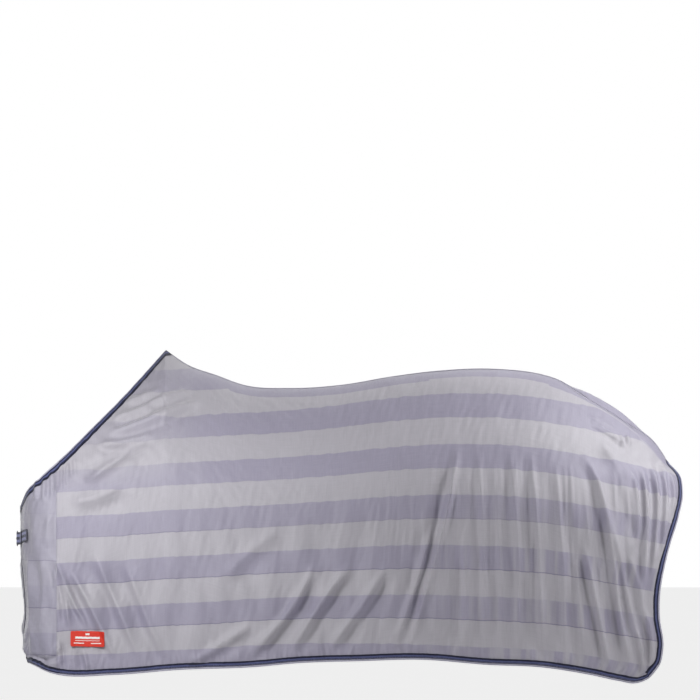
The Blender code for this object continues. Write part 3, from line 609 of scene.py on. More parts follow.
def rim_faces(rows, columns, flip):
    """Quads that close the rim between the two faces of a sheet."""
    top = [(i, 0) for i in range(rows)]
    top += [(rows - 1, j) for j in range(1, columns)]
    top += [(i, columns - 1) for i in range(rows - 2, -1, -1)]
    top += [(0, j) for j in range(columns - 2, 0, -1)]
    ring = [i * columns + j for i, j in top]
    under = rows * columns
    faces = []
    for a, b in zip(ring, ring[1:] + ring[:1]):
        faces.append([a, b, b + under, a + under] if flip else [b, a, a + under, b + under])
    return faces


def sheet_object(name, points, normals, thickness, place, look, body, side):
    """A closed thin sheet from a grid of middle points."""
    rows, columns = points.shape[:2]
    outer = points + normals * thickness / 2
    inner = points - normals * thickness / 2
    flip = side == FAR
    faces = grid_faces(rows, columns, flip=flip)
    faces += grid_faces(rows, columns, start=rows * columns, flip=not flip)
    faces += rim_faces(rows, columns, flip)
    vertices = np.concatenate([outer.reshape(-1, 3), inner.reshape(-1, 3)])
    return new_object(name, vertices, faces, look, body, np.concatenate([place.reshape(-1, 3)] * 2))


def swept(name, rings, place, look, body):
    """A closed solid from rings of points, one after another."""
    count, around = rings.shape[:2]
    faces = grid_faces(count, around, closed=True)
    faces.append(list(range(around)))
    faces.append([(count - 1) * around + j for j in range(around)][::-1])
    obj = new_object(name, rings, faces, look, body, place)
    face_outwards(obj)
    return obj


def face_outwards(obj):
    """Turns a closed mesh so that its faces point out."""
    mesh = obj.data
    mesh.calc_loop_triangles()
    points = np.array([v.co for v in mesh.vertices])
    corners = np.array([t.vertices for t in mesh.loop_triangles])
    a, b, c = (points[corners[:, k]] for k in range(3))
    if dots(a, np.cross(b, c)).sum() < 0:
        mesh.flip_normals()


# --------------------------------------------------------------------------------- materials


class Nodes:
    """A material's shader nodes, with short names for making them."""

    def __init__(self, name):
        self.material = bpy.data.materials.new(name)
        self.material.use_nodes = True
        self.tree = self.material.node_tree
        self.shader = self.tree.nodes["Principled BSDF"]

    def node(self, kind, **settings):
        made = self.tree.nodes.new("ShaderNode" + kind)
        for key, value in settings.items():
            setattr(made, key, value)
        return made

    def put(self, value, socket):
        if isinstance(value, bpy.types.NodeSocket):
            self.tree.links.new(value, socket)
        else:
            socket.default_value = value

    def put_colour(self, value, socket):
        self.put(value if isinstance(value, bpy.types.NodeSocket) else (*value, 1.0), socket)

    def maths(self, operation, *values):
        made = self.node("Math", operation=operation)
        for value, socket in zip(values, made.inputs):
            self.put(value, socket)
        return made.outputs[0]

    def plus(self, first, second):
        return self.maths("ADD", first, second)

    def minus(self, first, second):
        return self.maths("SUBTRACT", first, second)

    def times(self, first, second):
        return self.maths("MULTIPLY", first, second)

    def over(self, first, second):
        return self.maths("DIVIDE", first, second)

    def wave(self, value, pitch):
        """A ripple from -1 to 1, once for each pitch."""
        return self.maths("SINE", self.times(value, 2 * math.pi / pitch))

    def repeat(self, value, pitch, offset=0.0):
        """Distance from the nearest of evenly spaced lines."""
        turns = self.over(self.minus(value, offset), pitch)
        part = self.maths("FRACT", self.plus(turns, 0.5))
        return self.times(self.maths("ABSOLUTE", self.minus(part, 0.5)), pitch)

    def place(self):
        """The three surface coordinates."""
        attribute = self.node("Attribute", attribute_name="place")
        split = self.node("SeparateXYZ")
        self.put(attribute.outputs["Vector"], split.inputs[0])
        return tuple(split.outputs)

    def vector(self, x, y, z=0.0):
        made = self.node("CombineXYZ")
        for value, socket in zip((x, y, z), made.inputs):
            self.put(value, socket)
        return made.outputs[0]

    def noise(self, vector, scale, detail=3.0, roughness=0.5):
        made = self.node("TexNoise")
        for key, number in (("Scale", scale), ("Detail", detail), ("Roughness", roughness)):
            made.inputs[key].default_value = number
        self.put(vector, made.inputs["Vector"])
        return made.outputs["Fac"]

    def grain(self, u, v, u_scale, v_scale, layer=0.0, detail=2.0):
        """Noise of one fineness along u and another along v, in spots to the metre."""
        where = self.vector(self.times(u, u_scale), self.times(v, v_scale), layer)
        return self.noise(where, 1.0, detail)

    def ramp(self, value, low, high, start=0.0, end=1.0):
        """From start where the value is low to end where it is high."""
        made = self.node("MapRange", interpolation_type="SMOOTHSTEP")
        for key, number in (("From Min", low), ("From Max", high), ("To Min", start), ("To Max", end)):
            made.inputs[key].default_value = number
        self.put(value, made.inputs["Value"])
        return made.outputs[0]

    def mix(self, share, first, second, blend="MIX"):
        made = self.node("Mix", data_type="RGBA", blend_type=blend)
        self.put(share, made.inputs["Factor"])
        sockets = [socket for socket in made.inputs if socket.type == "RGBA"]
        for value, socket in zip((first, second), sockets):
            self.put_colour(value, socket)
        return [socket for socket in made.outputs if socket.type == "RGBA"][0]

    def shade(self, colour, amount):
        """The colour times a value about 1."""
        grey = self.node("CombineColor")
        for socket in grey.inputs:
            self.put(amount, socket)
        return self.mix(1.0, colour, grey.outputs[0], "MULTIPLY")

    def bump(self, height, strength, distance):
        made = self.node("Bump")
        made.inputs["Strength"].default_value = strength
        made.inputs["Distance"].default_value = distance
        self.put(height, made.inputs["Height"])
        self.put(made.outputs[0], self.shader.inputs["Normal"])

    def finish(self, colour, roughness, **values):
        self.put_colour(colour, self.shader.inputs["Base Color"])
        self.put(roughness, self.shader.inputs["Roughness"])
        for key, value in values.items():
            self.shader.inputs[key.replace("_", " ")].default_value = value
        return self.material


def linear(red, green, blue):
    """A screen colour, 0 to 255, as the light that it stands for."""
    return tuple(((c / 255 + 0.055) / 1.055) ** 2.4 for c in (red, green, blue))


LIGHT_STRIPE = linear(172, 169, 177)
DARK_STRIPE = linear(151, 147, 165)
CHEST_LIGHT = linear(161, 158, 172)
CHEST_DARK = linear(152, 149, 166)
EDGE_LINE = linear(112, 107, 131)
NAVY = linear(30, 33, 64)
DEEP_NAVY = linear(22, 24, 47)
LILAC = linear(80, 85, 126)
PALE_LILAC = linear(132, 136, 178)
PALE_FOLD = linear(172, 170, 186)
THREAD = linear(170, 170, 196)
CLOTH_THREAD = linear(168, 164, 182)
LABEL_RED = linear(214, 48, 30)
WHITE = linear(240, 238, 236)
NICKEL = linear(206, 203, 198)
FLOOR_WHITE = linear(250, 250, 250)

STRIPE_WANDER = 0.0022  # how far a stripe's edge strays
STRIPE_BLUR = 0.0012  # half the width of its soft edge
CLOTH_RIB, CLOTH_CROSS_RIB = 0.0019, 0.0016
TAPE_RIB = 0.0013
TWILL = 0.0016
LABEL_WEAVE, THREAD_TWIST = 0.0007, 0.0006


def striped_colour(n, s, stripe, r, light, dark):
    """Dark stripes, patchy at the rear and fading at the neck, each with a thin line along its foot."""
    half = STRIPE_DARK * STRIPE_PITCH / 2
    stray = n.noise(n.vector(n.times(s, 22.0), 0.0), 1.0, 2.0)
    stripe = n.plus(stripe, n.ramp(stray, 0.2, 0.8, -STRIPE_WANDER, STRIPE_WANDER))
    from_middle = n.repeat(stripe, STRIPE_PITCH, half)
    dark_share = n.ramp(from_middle, half - STRIPE_BLUR, half + STRIPE_BLUR, 1.0, 0.0)
    foot = n.ramp(n.repeat(stripe, STRIPE_PITCH, 2 * half), 0.0007, 0.0022, 1.0, 0.0)
    line = n.times(foot, n.ramp(r, 0.45, 0.65, 0.10, 0.70))
    row = n.maths("FLOOR", n.over(stripe, STRIPE_PITCH))
    patches = n.grain(s, row, 30.0, 3.7)  # each dark stripe breaks up on its own
    rear = n.times(n.ramp(s, 1.15, 1.75), n.ramp(stripe, 0.05, 0.35))
    uneven = n.times(rear, n.ramp(patches, 0.38, 0.60, 0.80, 0.0))
    neck = n.times(n.ramp(s, 0.45, 0.80, 0.7, 0.0), n.ramp(stripe, -0.05, 0.12, 1.0, 0.0))
    dark_share = n.times(dark_share, n.minus(1.0, n.maths("MAXIMUM", uneven, neck)))
    return n.mix(line, n.mix(dark_share, light, dark), EDGE_LINE)


def cloth_material(name, light, dark):
    """Striped weave with ribs both ways, slubs, and a satin sheen."""
    n = Nodes(name)
    s, stripe, r = n.place()
    colour = striped_colour(n, s, stripe, r, light, dark)
    weft = n.grain(s, r, 14.0, 520.0)
    warp = n.grain(s, r, 460.0, 18.0, 7.0)
    cloud = n.noise(n.vector(s, r, 3.0), 5.0, 4.0)
    slubs = n.plus(n.ramp(weft, 0.25, 0.75, -0.035, 0.035), n.ramp(warp, 0.25, 0.75, -0.035, 0.035))
    tone = n.plus(n.plus(slubs, n.ramp(cloud, 0.3, 0.7, -0.02, 0.02)), 1.0)
    ribs = n.times(n.wave(r, CLOTH_RIB), n.wave(s, CLOTH_CROSS_RIB))
    n.bump(n.plus(ribs, n.times(slubs, 16.0)), 0.30, 0.00035)
    return n.finish(
        n.shade(colour, tone), n.ramp(weft, 0.2, 0.8, 0.42, 0.55),
        Sheen_Weight=0.5, Sheen_Roughness=0.3, Specular_IOR_Level=0.55,
    )


def tape_colour(n, across, pale, width):
    """Navy tape with a lilac stripe, and a pale fold along its outer edge."""
    inner = n.over(n.minus(across, pale), width)
    navy = n.mix(n.ramp(inner, 0.62, 0.70), NAVY, DEEP_NAVY)
    stripe = n.times(n.ramp(inner, 0.26, 0.33), n.ramp(inner, 0.55, 0.61, 1.0, 0.0))
    return n.mix(n.ramp(inner, -0.03, 0.03, 1.0, 0.0), n.mix(stripe, navy, LILAC), PALE_FOLD)


def binding_material():
    """Folded tape: place holds the length along it, the distance from its fold and its pale width."""
    n = Nodes("binding_tape")
    along, across, pale = n.place()
    colour = tape_colour(n, across, pale, BAND_WIDTH - 0.0040)
    fibre = n.grain(along, across, 900.0, 120.0)
    wear = n.grain(along, across, 30.0, 60.0, 5.0, 3.0)
    tone = n.plus(n.ramp(fibre, 0.2, 0.8, 0.80, 1.12), n.ramp(wear, 0.45, 0.8, 0.0, 0.12))
    n.bump(n.plus(n.wave(along, TAPE_RIB), n.times(fibre, 2.0)), 0.35, 0.0003)
    return n.finish(
        n.shade(colour, tone), n.ramp(fibre, 0.2, 0.8, 0.72, 0.86),
        Sheen_Weight=0.25, Sheen_Roughness=0.5, Specular_IOR_Level=0.3,
    )


def webbing_material(name, width, stripe_colour=PALE_LILAC):
    """Flat tape: place holds the length along it, the distance across it, and the length from its end."""
    n = Nodes(name)
    along, across, from_end = n.place()
    stripe = n.repeat(n.over(across, width), 0.44, 0.28)
    colour = n.mix(n.ramp(stripe, 0.090, 0.115, 1.0, 0.0), NAVY, stripe_colour)
    colour = n.mix(n.ramp(from_end, 0.0085, 0.0100, 1.0, 0.0), colour, DEEP_NAVY)
    twill = n.wave(n.plus(along, across), TWILL)
    grain = n.grain(along, across, 600.0, 300.0)
    tone = n.plus(n.ramp(grain, 0.2, 0.8, 0.84, 1.10), n.times(twill, 0.05))
    n.bump(n.plus(twill, grain), 0.4, 0.0003)
    return n.finish(n.shade(colour, tone), n.ramp(grain, 0.2, 0.8, 0.68, 0.82), Sheen_Weight=0.2)


def woven_material(name, colour, pitch, roughness, contrast=0.06):
    """One colour in a close weave, for the label, its marks and the thread."""
    n = Nodes(name)
    u, v, _ = n.place()
    weave = n.times(n.wave(v, pitch), n.wave(u, pitch))
    grain = n.grain(u, v, 300.0, 300.0, detail=3.0)
    tone = n.plus(n.ramp(grain, 0.2, 0.8, 1 - contrast, 1 + contrast), n.times(weave, 0.03))
    n.bump(n.plus(weave, grain), 0.35, 0.0003)
    return n.finish(n.shade(colour, tone), n.ramp(grain, 0.2, 0.8, roughness - 0.07, roughness + 0.07))


def metal_material():
    """Nickel plate with fine rubbing marks and duller patches."""
    n = Nodes("nickel_plate")
    where = n.node("TexCoord").outputs["Object"]
    rub = n.noise(where, 900.0, 4.0, 0.6)
    patch = n.noise(where, 160.0, 3.0)
    tone = n.times(n.ramp(patch, 0.3, 0.7, 0.86, 1.04), n.ramp(rub, 0.3, 0.7, 0.96, 1.02))
    n.bump(rub, 0.12, 0.0002)
    roughness = n.plus(n.ramp(patch, 0.3, 0.7, 0.14, 0.26), n.ramp(rub, 0.4, 0.8, 0.0, 0.08))
    return n.finish(n.shade(NICKEL, tone), roughness, Metallic=1.0)


LOOKS = {
    "body": cloth_material("striped_cloth", LIGHT_STRIPE, DARK_STRIPE),
    "chest": cloth_material("chest_striped_cloth", CHEST_LIGHT, CHEST_DARK),
    "binding": binding_material(),
    "strap": webbing_material("strap_tape", STRAP_WIDTH),
    "keeper": webbing_material("keeper_tape", KEEPER_WIDTH),
    "plain_tape": webbing_material("plain_navy_tape", SPINE_WIDTH, NAVY),
    "loop": webbing_material("loop_tape", LOOP_WIDTH),
    "thread": woven_material("sewing_thread", THREAD, THREAD_TWIST, 0.6, 0.15),
    "cloth_thread": woven_material("cloth_thread", CLOTH_THREAD, THREAD_TWIST, 0.6, 0.15),
    "label": woven_material("label_weave", LABEL_RED, LABEL_WEAVE, 0.62),
    "marks": woven_material("label_marks", WHITE, LABEL_WEAVE, 0.6),
    "metal": metal_material(),
}


# -------------------------------------------------------------------------------- the cloth

LAP = 0.005  # the body's cloth laps over the chest's by this much
DARK_PLACE = -1.75 * STRIPE_PITCH  # a place across the stripes that lies in a dark one


def stripe_place(plain, r, chest):
    """Distance across the stripes, 0 at the upper edge of a dark one."""
    x, z = plain[..., 0], plain[..., 2]
    if chest:
        return (CHEST_FIRST - z) / CHEST_PITCH * STRIPE_PITCH
    upper, lower = smooth(UPPER_LINE, x), smooth(LOWER_LINE, x)
    down = (upper - z) / (upper - lower) * STRIPE_TURNS * STRIPE_PITCH
    spine = (1 - step(r, SPINE_STRIPE, SPINE_STRIPE + 0.004)) * step(x, -0.30, -0.10)
    return np.where(spine > 0.5, DARK_PLACE, down)


def flat_area(points):
    """Area of a grid of points."""
    a, b = points[1:, :-1] - points[:-1, :-1], points[:-1, 1:] - points[:-1, :-1]
    c, d = points[1:, :-1] - points[1:, 1:], points[:-1, 1:] - points[1:, 1:]
    first = np.linalg.norm(np.cross(a, b), axis=-1).sum()
    return (first + np.linalg.norm(np.cross(c, d), axis=-1).sum()) / 2


def cloth_grid(stations, rows):
    """(s, r) of a grid between the bound edges, or from the spine behind the withers."""
    behind = stations > WITHERS_S - 0.004
    top = np.where(behind, 0.0006, top_arc(stations) + BAND_INSET * 1.5)
    hem = hem_arc(stations) - BAND_INSET
    share = np.linspace(0, 1, rows)
    r = top[:, None] + (hem - top)[:, None] * share[None, :]
    return np.repeat(stations[:, None], rows, axis=1), r


def over_seam(s):
    """Lift of the body's cloth, which lies on the chest's along the seam."""
    return 0.0007 * (1 - step(s, SEAM_S + 0.006, SEAM_S + 0.020))


def under_seam(s):
    """Lift of the chest's cloth, which goes under the body's."""
    return -0.0006 * step(s, SEAM_S - 0.020, SEAM_S - LAP)


def cloth_piece(name, side, stations, rows, lift, look, body):
    s, r = cloth_grid(stations, rows)
    points = on_cloth(side, s, r, lift(s))
    place = np.stack([s, stripe_place(between(PLAIN, s, r), r, look == "chest"), r], axis=-1)
    piece = sheet_object(name, points, outward(side, s, r), CLOTH, place, LOOKS[look], body, side)
    return piece, flat_area(points)


def bend_at_seam(obj):
    """Bakes the piece's placement into its mesh."""
    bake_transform(obj)


def cloth_halves():
    body = np.linspace(SEAM_S - LAP, END_S - BAND_INSET, 496)
    chest = np.linspace(BAND_INSET, SEAM_S + LAP, 62)
    for side, label in SIDES:
        piece, area = cloth_piece("body_cloth_" + label, side, body, 97, over_seam, "body", "sheet")
        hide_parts("body_panel_" + label)
        piece, area = cloth_piece("chest_cloth_" + label, side, chest, 116, under_seam, "chest", None)
        bend_at_seam(piece)
        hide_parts("chest_panel_" + label)


# ----------------------------------------------------------------------------- bound edges

SLACK = 0.0004  # air between a tape and the cloth that it's sewn to
HEM_PALE, CHEST_PALE, NECK_PALE = 0.0050, 0.0040, 0.0030  # width of the pale fold that shows
EASED = 0.04  # distance from an end of the sheet within which a corner is rounded


def soften(values, passes):
    """Moving average that keeps the two ends."""
    values = values.copy()
    for _ in range(passes):
        values[1:-1] = (values[:-2] + 2 * values[1:-1] + values[2:]) / 4
    return values


def edge_path(side, s, r, spacing=0.004, passes=6):
    """(s, r, length) along an edge at even distances, with its corners eased."""
    at = lengths(on_cloth(side, s, r))
    even = np.linspace(0, at[-1], int(at[-1] / spacing) + 1)
    path = at_lengths(np.column_stack([s, r]), at, even)
    from_end = np.minimum(path[:, 0], END_S - path[:, 0])
    share = (1 - step(from_end, EASED, 2 * EASED))[:, None]
    path = soften(path, passes) * share + path * (1 - share)
    return path[:, 0], path[:, 1], even


def inward_steps(side, s, r, hints):
    """Change of (s, r) for each metre square to the path, into the cloth, and that direction itself."""
    tiny = 0.002  # step over which the slopes are taken
    low_s, high_s = np.clip(s - tiny, 0, END_S), np.clip(s + tiny, 0, END_S)
    low_r = np.maximum(r - tiny, 0)
    along_s = (on_cloth(side, high_s, r) - on_cloth(side, low_s, r)) / (high_s - low_s)[:, None]
    along_r = (on_cloth(side, s, r + tiny) - on_cloth(side, s, low_r)) / (r + tiny - low_r)[:, None]
    tangent = soften(np.gradient(on_cloth(side, s, r), axis=0), 4)
    inward = np.cross(np.cross(along_s, along_r), tangent)
    hint = along_s * hints[:, :1] + along_r * hints[:, 1:]
    inward = unit(inward * np.sign(dots(inward, hint))[:, None])
    ss, sr, rr = dots(along_s, along_s), dots(along_s, along_r), dots(along_r, along_r)
    fs, fr = dots(along_s, inward), dots(along_r, inward)
    det = ss * rr - sr * sr
    return np.column_stack([(rr * fs - sr * fr) / det, (ss * fr - sr * fs) / det]), inward


def band_profile(pale):
    """The folded tape's section as (distance from the fold, lift): a closed ring."""
    slack = CLOTH / 2 + SLACK
    face = slack + TAPE
    bulge = 0.0007 if pale > CHEST_PALE else 0.0004
    outer = [(BAND_WIDTH, slack + 0.2 * TAPE), (BAND_WIDTH - 0.0002, slack + 0.8 * TAPE)]
    for share in np.linspace(0.95, 0.30, 9):
        outer.append((BAND_WIDTH * share, face + 0.00035 * math.sin(math.pi * share)))
    outer.append((pale + 0.0004, face + 0.0001))
    outer.append((pale - 0.0006, face + bulge))
    fold = []
    radius = face + bulge
    for angle in np.linspace(math.pi / 2, 3 * math.pi / 2, 9):
        fold.append((radius * (1 + math.cos(angle)) - 0.0004, radius * math.sin(angle)))
    under = [(distance, -lift) for distance, lift in reversed(outer)]
    inside = [(BAND_WIDTH, -slack), (BAND_WIDTH / 2, -slack), (0.003, -slack)]
    inside += [(distance, -lift) for distance, lift in reversed(inside)]
    return np.array(outer + fold + under + inside)


def band(name, side, s, r, hint, body, pale):
    """Tape folded over an edge of the cloth, following its folds."""
    s, r, along = edge_path(side, s, r)
    hints = at_lengths(np.array(hint, float), np.linspace(0, 1, len(hint)), np.linspace(0, 1, len(s)))
    steps, inward = inward_steps(side, s, r, hints)
    profile = band_profile(pale)
    distance = np.maximum(profile[:, 0], 0)[None, :]
    rs = np.clip(s[:, None] + steps[:, :1] * distance, 0, END_S)
    rr = np.maximum(r[:, None] + steps[:, 1:] * distance, 0.0)
    rings = on_cloth(side, rs, rr, np.broadcast_to(profile[:, 1], rs.shape))
    rings = rings + inward[:, None, :] * np.minimum(profile[:, 0], 0)[None, :, None]
    place = places(along[:, None], np.abs(profile[None, :, 0]), np.full((1, 1), pale))
    piece = swept(name, rings, place, LOOKS["binding"], body)
    return piece


def bound_edges():
    """Three tapes on each side. Each hint is a way into the cloth, as (s, r), along the tape."""
    for side, label in SIDES:
        neck = np.linspace(SEAM_S, WITHERS_S - 0.0005, 160)
        into = [(0.3, 1), (1, 1)]
        piece = band("neck_tape_" + label, side, neck, top_arc(neck), into, "sheet", NECK_PALE)
        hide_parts("neck_binding_" + label)

        hem = np.linspace(SEAM_S, END_S, 420)
        tail = np.linspace(float(hem_arc(END_S)), 0.0008, 170)[1:]
        s = np.concatenate([hem, np.full(len(tail), END_S)])
        r = np.concatenate([hem_arc(hem), tail])
        into = [(0, -1)] * 70 + [(-1, -0.5)] * 6 + [(-1, 0)] * 28
        piece = band("hem_and_tail_tape_" + label, side, s, r, into, "sheet", HEM_PALE)
        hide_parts("hem_binding_" + label, "tail_binding_" + label)

        chest = np.linspace(SEAM_S, 0.0004, 80)
        front = np.linspace(float(top_arc(0.0)), float(hem_arc(0.0)), 120)[1:-1]
        s = np.concatenate([chest, np.full(len(front), 0.0004), chest[::-1]])
        r = np.concatenate([top_arc(chest), front, hem_arc(chest[::-1])])
        into = [(0, 1)] * 30 + [(1, 0)] * 40 + [(0, -1)] * 30
        piece = band("chest_tape_" + label, side, s, r, into, None, CHEST_PALE)
        bend_at_seam(piece)
        covered = ["chest_neck_binding_", "chest_hem_binding_", "front_binding_"]
        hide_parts(*(node + label for node in covered))


# ---------------------------------------------------------------------------------- stitches

STITCH = {"length": 0.0030, "pitch": 0.0048, "thick": 0.00045}
FINE_STITCH = {"length": 0.0022, "pitch": 0.0034, "thick": 0.0004}


def stitches(name, points, normals, look, body, length, pitch, thick):
    """A row of stitches: small four-sided threads with pinched ends, along a line of points."""
    at = lengths(points)
    middles = np.arange(pitch / 2, at[-1] - pitch / 2, pitch)
    here = at_lengths(points, at, middles)
    up = unit(at_lengths(normals, at, middles))
    along = unit(at_lengths(points, at, middles + length / 2) - here)
    aside = np.cross(up, along)
    shape = []
    for share, size in ((-1, 0.35), (-0.5, 1.0), (0.5, 1.0), (1, 0.35)):
        for across, rise in ((1, 0), (0, 1), (-1, 0), (0, -1)):
            shape.append((share * length / 2, across * thick * size, rise * thick * size))
    shape = np.array(shape)
    vertices = here[:, None] + along[:, None] * shape[None, :, :1]
    vertices = vertices + aside[:, None] * shape[None, :, 1:2] + up[:, None] * shape[None, :, 2:]
    one = grid_faces(4, 4, closed=True) + [[3, 2, 1, 0], [12, 13, 14, 15]]
    faces = [[i + 16 * k for i in face] for k in range(len(here)) for face in one]
    place = places(middles[:, None] + shape[None, :, 0], shape[None, :, 1], np.zeros((1, 1)))
    obj = new_object(name, vertices, faces, look, body, place)
    return obj


def cloth_stitches(name, side, s, r, lift, look):
    points, normals = on_cloth(side, s, r, lift), outward(side, s, r)
    return stitches(name, points, normals, LOOKS[look], "sheet", **STITCH)


def tape_stitches():
    """The dotted rows along the bindings and the seams."""
    on_tape = CLOTH / 2 + SLACK + TAPE + 0.0004
    for side, label in SIDES:
        hem = np.linspace(SEAM_S + 0.004, END_S - 0.030, 700)
        cloth_stitches("hem_stitches_" + label, side, hem, hem_arc(hem) - 0.0075, on_tape, "thread")
        neck = np.linspace(SEAM_S + 0.004, WITHERS_S - 0.030, 200)
        down = 0.0048 / np.cos(np.arctan(np.abs(np.gradient(top_arc(neck), neck))))
        cloth_stitches("neck_stitches_" + label, side, neck, top_arc(neck) + down, on_tape, "thread")
        for k, offset in enumerate((-0.0028, 0.0034)):
            r = np.linspace(float(top_arc(SEAM_S)) + 0.020, float(hem_arc(SEAM_S)) - 0.020, 300)
            s = np.full(len(r), SEAM_S + offset)
            name = "seam_stitches_%s_%d" % (label, k + 1)
            cloth_stitches(name, side, s, r, CLOTH / 2 + 0.0008, "cloth_thread")
        s = np.linspace(WITHERS_S + 0.03, END_S - 0.03, 500)
        r = np.full(len(s), 0.0042)
        cloth_stitches("spine_stitches_" + label, side, s, r, CLOTH / 2 + 0.0013, "cloth_thread")


# ------------------------------------------------------------------- spine, straps and loops

STRAPS = (  # name, side, bar and sewn end from the middle, width, rise to that end, look, body, node
    ("snap_strap", NEAR, SNAP_BAR, 0.180, STRAP_WIDTH, 0.010, "strap", "chest_near", "hook_strap"),
    ("ring_strap", FAR, RING_BAR, 0.115, KEEPER_WIDTH, 0.0, "keeper", "chest_far", "ring_keeper"),
)


def tape_ring(centres, across, up, width, thick):
    """Rings of a flat tape with rounded edges, about a line of centres, and the section's points."""
    shape = []
    flat, radius = width / 2 - thick / 2, thick / 2
    for sign, first in ((1, math.pi / 2), (-1, -math.pi / 2)):
        for x in np.linspace(-flat, flat, 7):
            shape.append((sign * x, sign * radius))
        for angle in np.linspace(first, first - math.pi, 5)[1:-1]:
            shape.append((sign * flat + radius * math.cos(angle), radius * math.sin(angle)))
    shape = np.array(shape)
    rings = centres[:, None] + across[:, None] * shape[None, :, :1] + up[:, None] * shape[None, :, 1:]
    return rings, shape


def spine_strip(name, half, lift, look, first, last, across):
    """A strip over or under the spine seam, bent over both halves; across is its range of places."""
    s = np.linspace(first, last, 330)
    r = half * np.linspace(1, 0, 6)[:-1]
    lifts = np.full((len(s), len(r)), lift)
    near = on_cloth(NEAR, s[:, None], r[None, :], lifts)
    far = on_cloth(FAR, s[:, None], r[None, ::-1], lifts)
    middle = on_cloth(NEAR, s, np.full(len(s), 0.0001), lifts[:, 0])[:, None]
    middle[..., 1] = 0
    points = np.concatenate([near, middle, far], axis=1)
    up = -normals_of(points)
    up *= np.sign(up[..., 2:])
    place = places(s[:, None], np.linspace(*across, points.shape[1])[None, :], np.ones((1, 1)))
    obj = sheet_object(name, points, up, TAPE, place, LOOKS[look], "sheet", NEAR)
    face_outwards(obj)
    return obj


def inner_tape():
    """The tape under the spine seam."""
    first, last = WITHERS_S + 0.004, END_S - 0.020
    tape = spine_strip("spine_inner_tape", SPINE_WIDTH / 2, -0.0016, "plain_tape",
                       first, last, (0, SPINE_WIDTH))
    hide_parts("spine_tape")


def welt():
    """A narrow roll over the spine seam, in the dark stripe's colour."""
    first, last, dark = WITHERS_S + 0.002, END_S - 0.012, 0.030
    spine_strip("spine_welt", 0.0060, 0.0008, "body", first, last, (dark, dark))


def middle_of(node):
    low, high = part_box(node)
    return [(a + b) / 2 for a, b in zip(low, high)]


def station_at(distance):
    """Stations round the chest at which the cloth at the strap's height is this far from the middle."""
    stations = np.linspace(0, SEAM_S, 160)
    y = np.abs(between(PLAIN, stations, arc_at(stations, STRAP_Z))[:, 1])
    return np.interp(distance, y, stations)


def chest_strap(name, side, bar, reach, width, tilt, look, body, node):
    """A strap sewn to the chest, which folds round its metal bar and back on itself."""
    axis, settle, fold_back = middle_of("d_ring")[0], bar + 0.022, bar + 0.050
    radius = WIRE + SLACK + STRAP / 2

    def laid(distances, lift):
        s = station_at(distances)
        r = arc_at(s, STRAP_Z + tilt * step(distances, bar, reach))
        base = between(PLAIN, s, r) * np.array([1, side, 1])
        normal = between(PLAIN_NORMALS, s, r) * np.array([1, side, 1])
        return base + normal * lift

    under = laid(np.linspace(reach, settle, 26), STRAP_LIFT)
    over = laid(np.linspace(settle, fold_back, 14), STRAP_LIFT + STRAP + 0.0005)
    turn = np.linspace(0, math.pi, 13)
    bend = [(axis + radius * math.cos(a), side * (bar - radius * math.sin(a)), STRAP_Z) for a in turn]
    path = np.concatenate([under, bend, over])
    at = lengths(path)
    even = np.linspace(0, at[-1], 110)
    path = soften(at_lengths(path, at, even), 5)
    tangent = unit(np.gradient(path, axis=0))
    upright = np.tile([0.0, 0.0, 1.0], (len(path), 1))
    upright = unit(upright - tangent * dots(upright, tangent)[:, None])
    rings, shape = tape_ring(path, upright, np.cross(tangent, upright), width, STRAP)
    from_end = np.minimum(even, even[-1] - even)
    place = places(even[:, None], shape[None, :, 0] + width / 2, from_end[:, None])
    obj = swept(name, rings, place, LOOKS[look], body)
    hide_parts(node)
    strap_stitches(name + "_stitches", bar, reach, width, laid, body)


def strap_stitches(name, bar, reach, width, laid, body):
    """A crossed box of stitches over the doubled end, and one at the end on the chest."""
    edge = width / 2 - 0.0035
    top = STRAP_LIFT + STRAP * 1.5 + 0.0006
    boxes = (
        (bar + 0.029, bar + 0.047, top + STRAP),
        (reach - 0.022, reach - 0.004, top - STRAP * 0.7),
    )
    rows = []
    for first, last, height in boxes:
        lines = [((first, up), (last, up)) for up in (edge, -edge)]
        lines += [((along, edge), (along, -edge)) for along in (first, last)]
        lines += [((first, edge), (last, -edge)), ((first, -edge), (last, edge))]
        rows += [(line, height) for line in lines]
    t = np.linspace(0, 1, 12)
    for k, (((d0, u0), (d1, u1)), height) in enumerate(rows):
        base = laid(d0 + (d1 - d0) * t, height)
        normals = laid(d0 + (d1 - d0) * t, height + 0.01) - base
        base[:, 2] += u0 + (u1 - u0) * t
        stitches("%s_%d" % (name, k + 1), base, normals, LOOKS["thread"], body, **FINE_STITCH)


